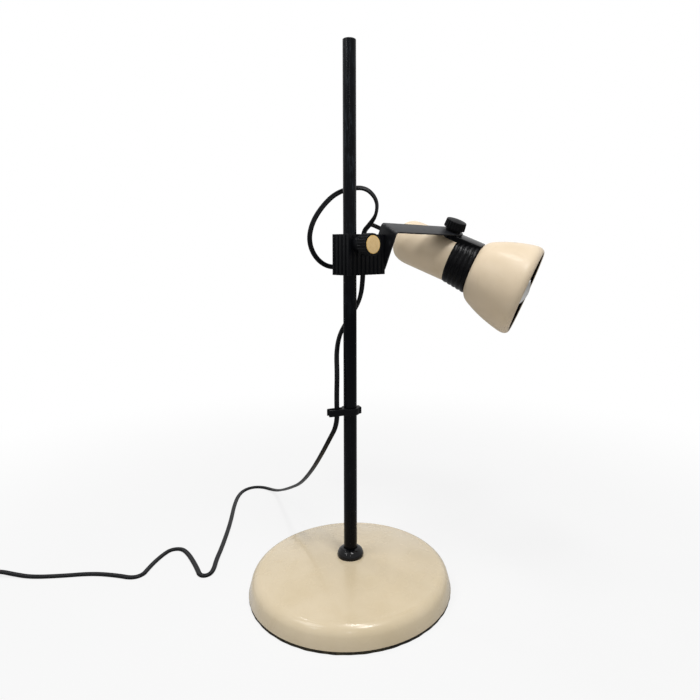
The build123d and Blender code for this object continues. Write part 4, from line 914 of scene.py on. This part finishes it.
def tube(name, line, way, wide, section, material):
    """Section carried along the line: centre + wide u + thin v, (u, v) being one row of the section
    for all the line, or a row for each of its points."""
    thin = np.cross(way, wide)
    section = np.broadcast_to(section, (len(line),) + section.shape[-2:])
    points = line[:, None] + wide[:, None] * section[:, :, :1] + thin[:, None] * section[:, :, 1:]
    return mesh_piece(name, points, capped(len(line), section.shape[1]), material, sharp=70)


def twin_section():
    """Two round cores side by side with a shallow groove between them."""
    core, offset = CORD_THICK / 2, (CORD_WIDE - CORD_THICK) / 2
    meet = math.acos(offset / core)
    t = np.linspace(-math.pi + meet, math.pi - meet, 11)[:-1]
    right = columns(offset + core * np.cos(t), core * np.sin(t))
    return np.vstack([right, -right])


def build_cord():
    """The flex's stretches, each a tube of the twin section on its own part of the spline's points,
    from one run's middle to the next."""
    line = spline_points(ROUTE)
    way, wide = flex_ways(line)
    first = 0
    for node, corner, body, far_body, lay in STRETCHES:
        if corner < len(ROUTE) - 1:
            middle = (np.array(ROUTE[corner]) + np.array(ROUTE[corner + 1])) / 2
            last = int(np.argmin(np.linalg.norm(line - middle, axis=1)))
        else:
            last = len(line) - 1
        part = slice(first, last + 1)
        piece = tube("flex_" + node, line[part], way[part], wide[part], twin_section(), CORD_BLACK)
        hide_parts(node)
        if far_body:
            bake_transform(piece)
        else:
            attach(piece, body)
        first = last
    build_sleeve(line, wide)


def build_sleeve(line, wide):
    """Ribbed, tapered sleeve where the flex leaves the head: a round section whose radius falls along
    it, less a notch between each two ribs, and a collar against the body."""
    tongue, collar, taper = 3, 2, 20
    tongue_r, collar_r, thick, fall = 3.6, 6.1, 4.9, 1.7
    pitch, gap, gap_depth = 2.5, 0.75, 0.55
    start = np.array(head_point(BODY_REAR + tongue))
    inside = start + (line[0] - start) * np.linspace(0, 1, 12)[:-1, None]
    path = np.vstack([inside, line[:80]])
    run = np.concatenate([[0], np.cumsum(np.linalg.norm(np.diff(path, axis=0), axis=1))])
    at = np.linspace(0, tongue + collar + taper, 101)
    path = columns(*(np.interp(at, run, path[:, k]) for k in range(3)))
    ways = unit(np.gradient(path, axis=0))
    flat = unit(wide[:1] - ways * (ways @ wide[0])[:, None])
    out = at - tongue
    cone = thick - fall * np.clip(out - collar, 0, taper) / taper
    radius = np.where(out < 0, tongue_r, np.where(out < collar, collar_r, cone))
    notch = (out > 5) & (out < taper) & (np.mod(out, pitch) < gap)
    radius = np.where(notch, radius - gap_depth, radius)
    t = np.linspace(0, 2 * math.pi, 40, endpoint=False)[None, :]
    section = columns(radius[:, None] * np.cos(t), radius[:, None] * np.sin(t))
    sleeve = tube("head_gland_sleeve", path, ways, flat, section, CLIP_BLACK)
    fit(sleeve, "head", "black_plastic", "head_gland")


def build_coil():
    """The put-away length: turns in a pack two wide and two high, in at the outer lower seat and out
    at the outer upper one, then the run to the plug."""
    seats = np.array([(2.75, -1.75), (-2.75, -1.75), (-2.75, 1.75), (2.75, 1.75)])
    t = np.arange(1, round(COIL_TURNS * 16)) / 16
    seat = t.astype(int)
    share = np.clip((t - seat - 0.7) / 0.3, 0, 1)[:, None]
    share = share * share * (3 - 2 * share)
    offset = seats[seat] * (1 - share) + seats[np.minimum(seat + 1, 3)] * share
    angle = -math.pi / 2 - 2 * math.pi * t
    radius = COIL_R + offset[:, 0]
    x, y = COIL_CENTRE
    turns = columns(x + radius * np.cos(angle), y + radius * np.sin(angle), COIL_Z + offset[:, 1])
    start = [(SWITCH_END, 17.5, SWITCH_Z), (SWITCH_END - 9, 17, SWITCH_Z - 0.6),
             (x + 21, 15.6, 3.6), (x + 9, 14.8, 2.8)]
    left = x - COIL_R
    end = [(left - 1.6, 56.5, 6.5), (left, 66, 6.8), (left, 76, PLUG_Z), (left, PLUG_START, PLUG_Z)]
    line = spline_points(start + turns.tolist() + end)
    way = unit(np.gradient(line, axis=0))
    piece = tube("flex_coil", line, way, unit(level_left(way)), twin_section(), CORD_BLACK)
    fit(piece, "root", "cord", "cord_tail", "cord_coil", "cord_end")


# ---- stage
def build_floor():
    """Plain pale floor. To the camera it is mostly white of its own, wholly so away from the lamp,
    and the rest is lit, so that soft shadows stay."""
    paint = Finish("studio_floor", Specular_IOR_Level=0.0, Roughness=0.9)
    paint.set(Base_Color=paint.mix((222, 222, 222), (216, 216, 216), paint.noise(300, 2)))
    seen = paint.node("ShaderNodeLightPath", output="Is Camera Ray")
    distance = paint.node("ShaderNodeVectorMath", (paint.place,), output="Value", operation="LENGTH")
    glow = paint.node("ShaderNodeEmission", {"Strength": 1.0}, output="Emission")
    shader = Value(paint, paint.shader.outputs["BSDF"])
    share = seen * (distance.rise(0.25, 0.9) * 0.18 + 0.82)
    both = paint.node("ShaderNodeMixShader", (share, shader, glow), output="Shader")
    paint.feed(paint.tree.nodes["Material Output"].inputs["Surface"], both)
    corners = np.array([(-1, -1, 0), (1, -1, 0), (1, 1, 0), (-1, 1, 0)]) * 6000.0
    floor = mesh_piece("studio_floor", corners, [(0, 1, 2, 3)], paint.material)


def build_world(strength):
    """Even light from all round, and white where the camera, gloss or glass sees it."""
    world = bpy.data.worlds.new("studio")
    bpy.context.scene.world = world
    world.use_nodes = True
    nodes = Nodes(world.node_tree)
    camera, gloss, glass = (nodes.node("ShaderNodeLightPath", output="Is " + kind + " Ray")
                            for kind in ("Camera", "Glossy", "Transmission"))
    seen = camera.math("MAXIMUM", gloss).math("MAXIMUM", glass)
    back = world.node_tree.nodes["Background"]
    nodes.feed(back.inputs["Color"], (1, 1, 1, 1))
    nodes.feed(back.inputs["Strength"], seen * (1 - strength) + strength)


def softbox(name, place, target, size, watts):
    """Rectangular lamp at a place, in metres, that faces the target."""
    data = bpy.data.lights.new(name, "AREA")
    data.shape = "RECTANGLE"
    data.size, data.size_y = size
    data.energy = watts
    lamp = linked(name, data)
    lamp.location = place
    lamp.rotation_euler = (Vector(target) - Vector(place)).to_track_quat("-Z", "Y").to_euler()


def build_camera():
    """Eye in front of the pole, pitched a little down."""
    frame_size, focal, sensor, pitch = 700, 579.87, 36.0, 0.0507
    middle_x, middle_y = 378.0, 274.5
    data = bpy.data.cameras.new("camera")
    data.sensor_width = sensor
    data.lens = focal / frame_size * sensor
    data.shift_x = (frame_size / 2 - middle_x) / frame_size
    data.shift_y = (middle_y - frame_size / 2) / frame_size
    data.clip_start = 0.01
    data.dof.use_dof = False
    camera = linked("camera", data)
    camera.location = (29.46 * MM, -605.9 * MM, 365.85 * MM)
    camera.rotation_euler = (math.pi / 2 - pitch, 0, 0)
    bpy.context.scene.camera = camera


build_camera()
build_cord()
build_coil()
build_foot()
build_pole()
build_clip()
build_block()
build_clamp_knob()
build_pivot()
build_arm()
build_head_knob()
build_head_body()
build_collar()
build_shade()
build_bulb()
build_holder()

# finishes of the nodes that show as they are
PLAIN = {
    STEEL: ["foot_washer", "foot_bolt", "foot_spacer", "pole_insert", "clamp_screw", "pivot_nut",
            "head_screw", "holder_bridge", "holder_nipple", "nipple_nut", "plug_pins"],
    BRASS: ["clamp_pad", "clamp_insert", "head_insert", "lampholder_thread", "lampholder_contact"],
    NYLON: ["clamp_liner", "friction_washer"],
    CLIP_BLACK: ["coil_tie", "switch_base", "switch_cover", "plug_body"],
    GLOSS_BLACK: ["switch_rocker"],
}
for material, names in PLAIN.items():
    for node in names:
        slots = frame["nodes"][node].data.materials
        slots.clear()
        slots.append(material)

build_floor()
build_world(0.22)
softbox("key", (0.27, -0.42, 1.3), (0.08, 0, 0.25), (0.3, 0.3), 5.8)
softbox("overhead", (0.06, 0.02, 1.35), (0, 0, 0.2), (0.4, 0.16), 4.4)
softbox("key_left", (-0.6, -0.3, 1.1), (0.05, 0, 0.2), (0.4, 0.4), 2.4)
softbox("front", (0.05, -1.35, 1.05), (0.05, 0, 0.2), (0.06, 0.06), 0.9)
softbox("left", (-0.75, -0.8, 1.1), (0, 0, 0.2), (0.06, 0.06), 0.9)
softbox("behind", (-0.48, 0.29, 1.19), (-0.06, -0.08, 0.02), (0.05, 0.05), 0.7)
bpy.context.scene.view_settings.view_transform = "Standard"
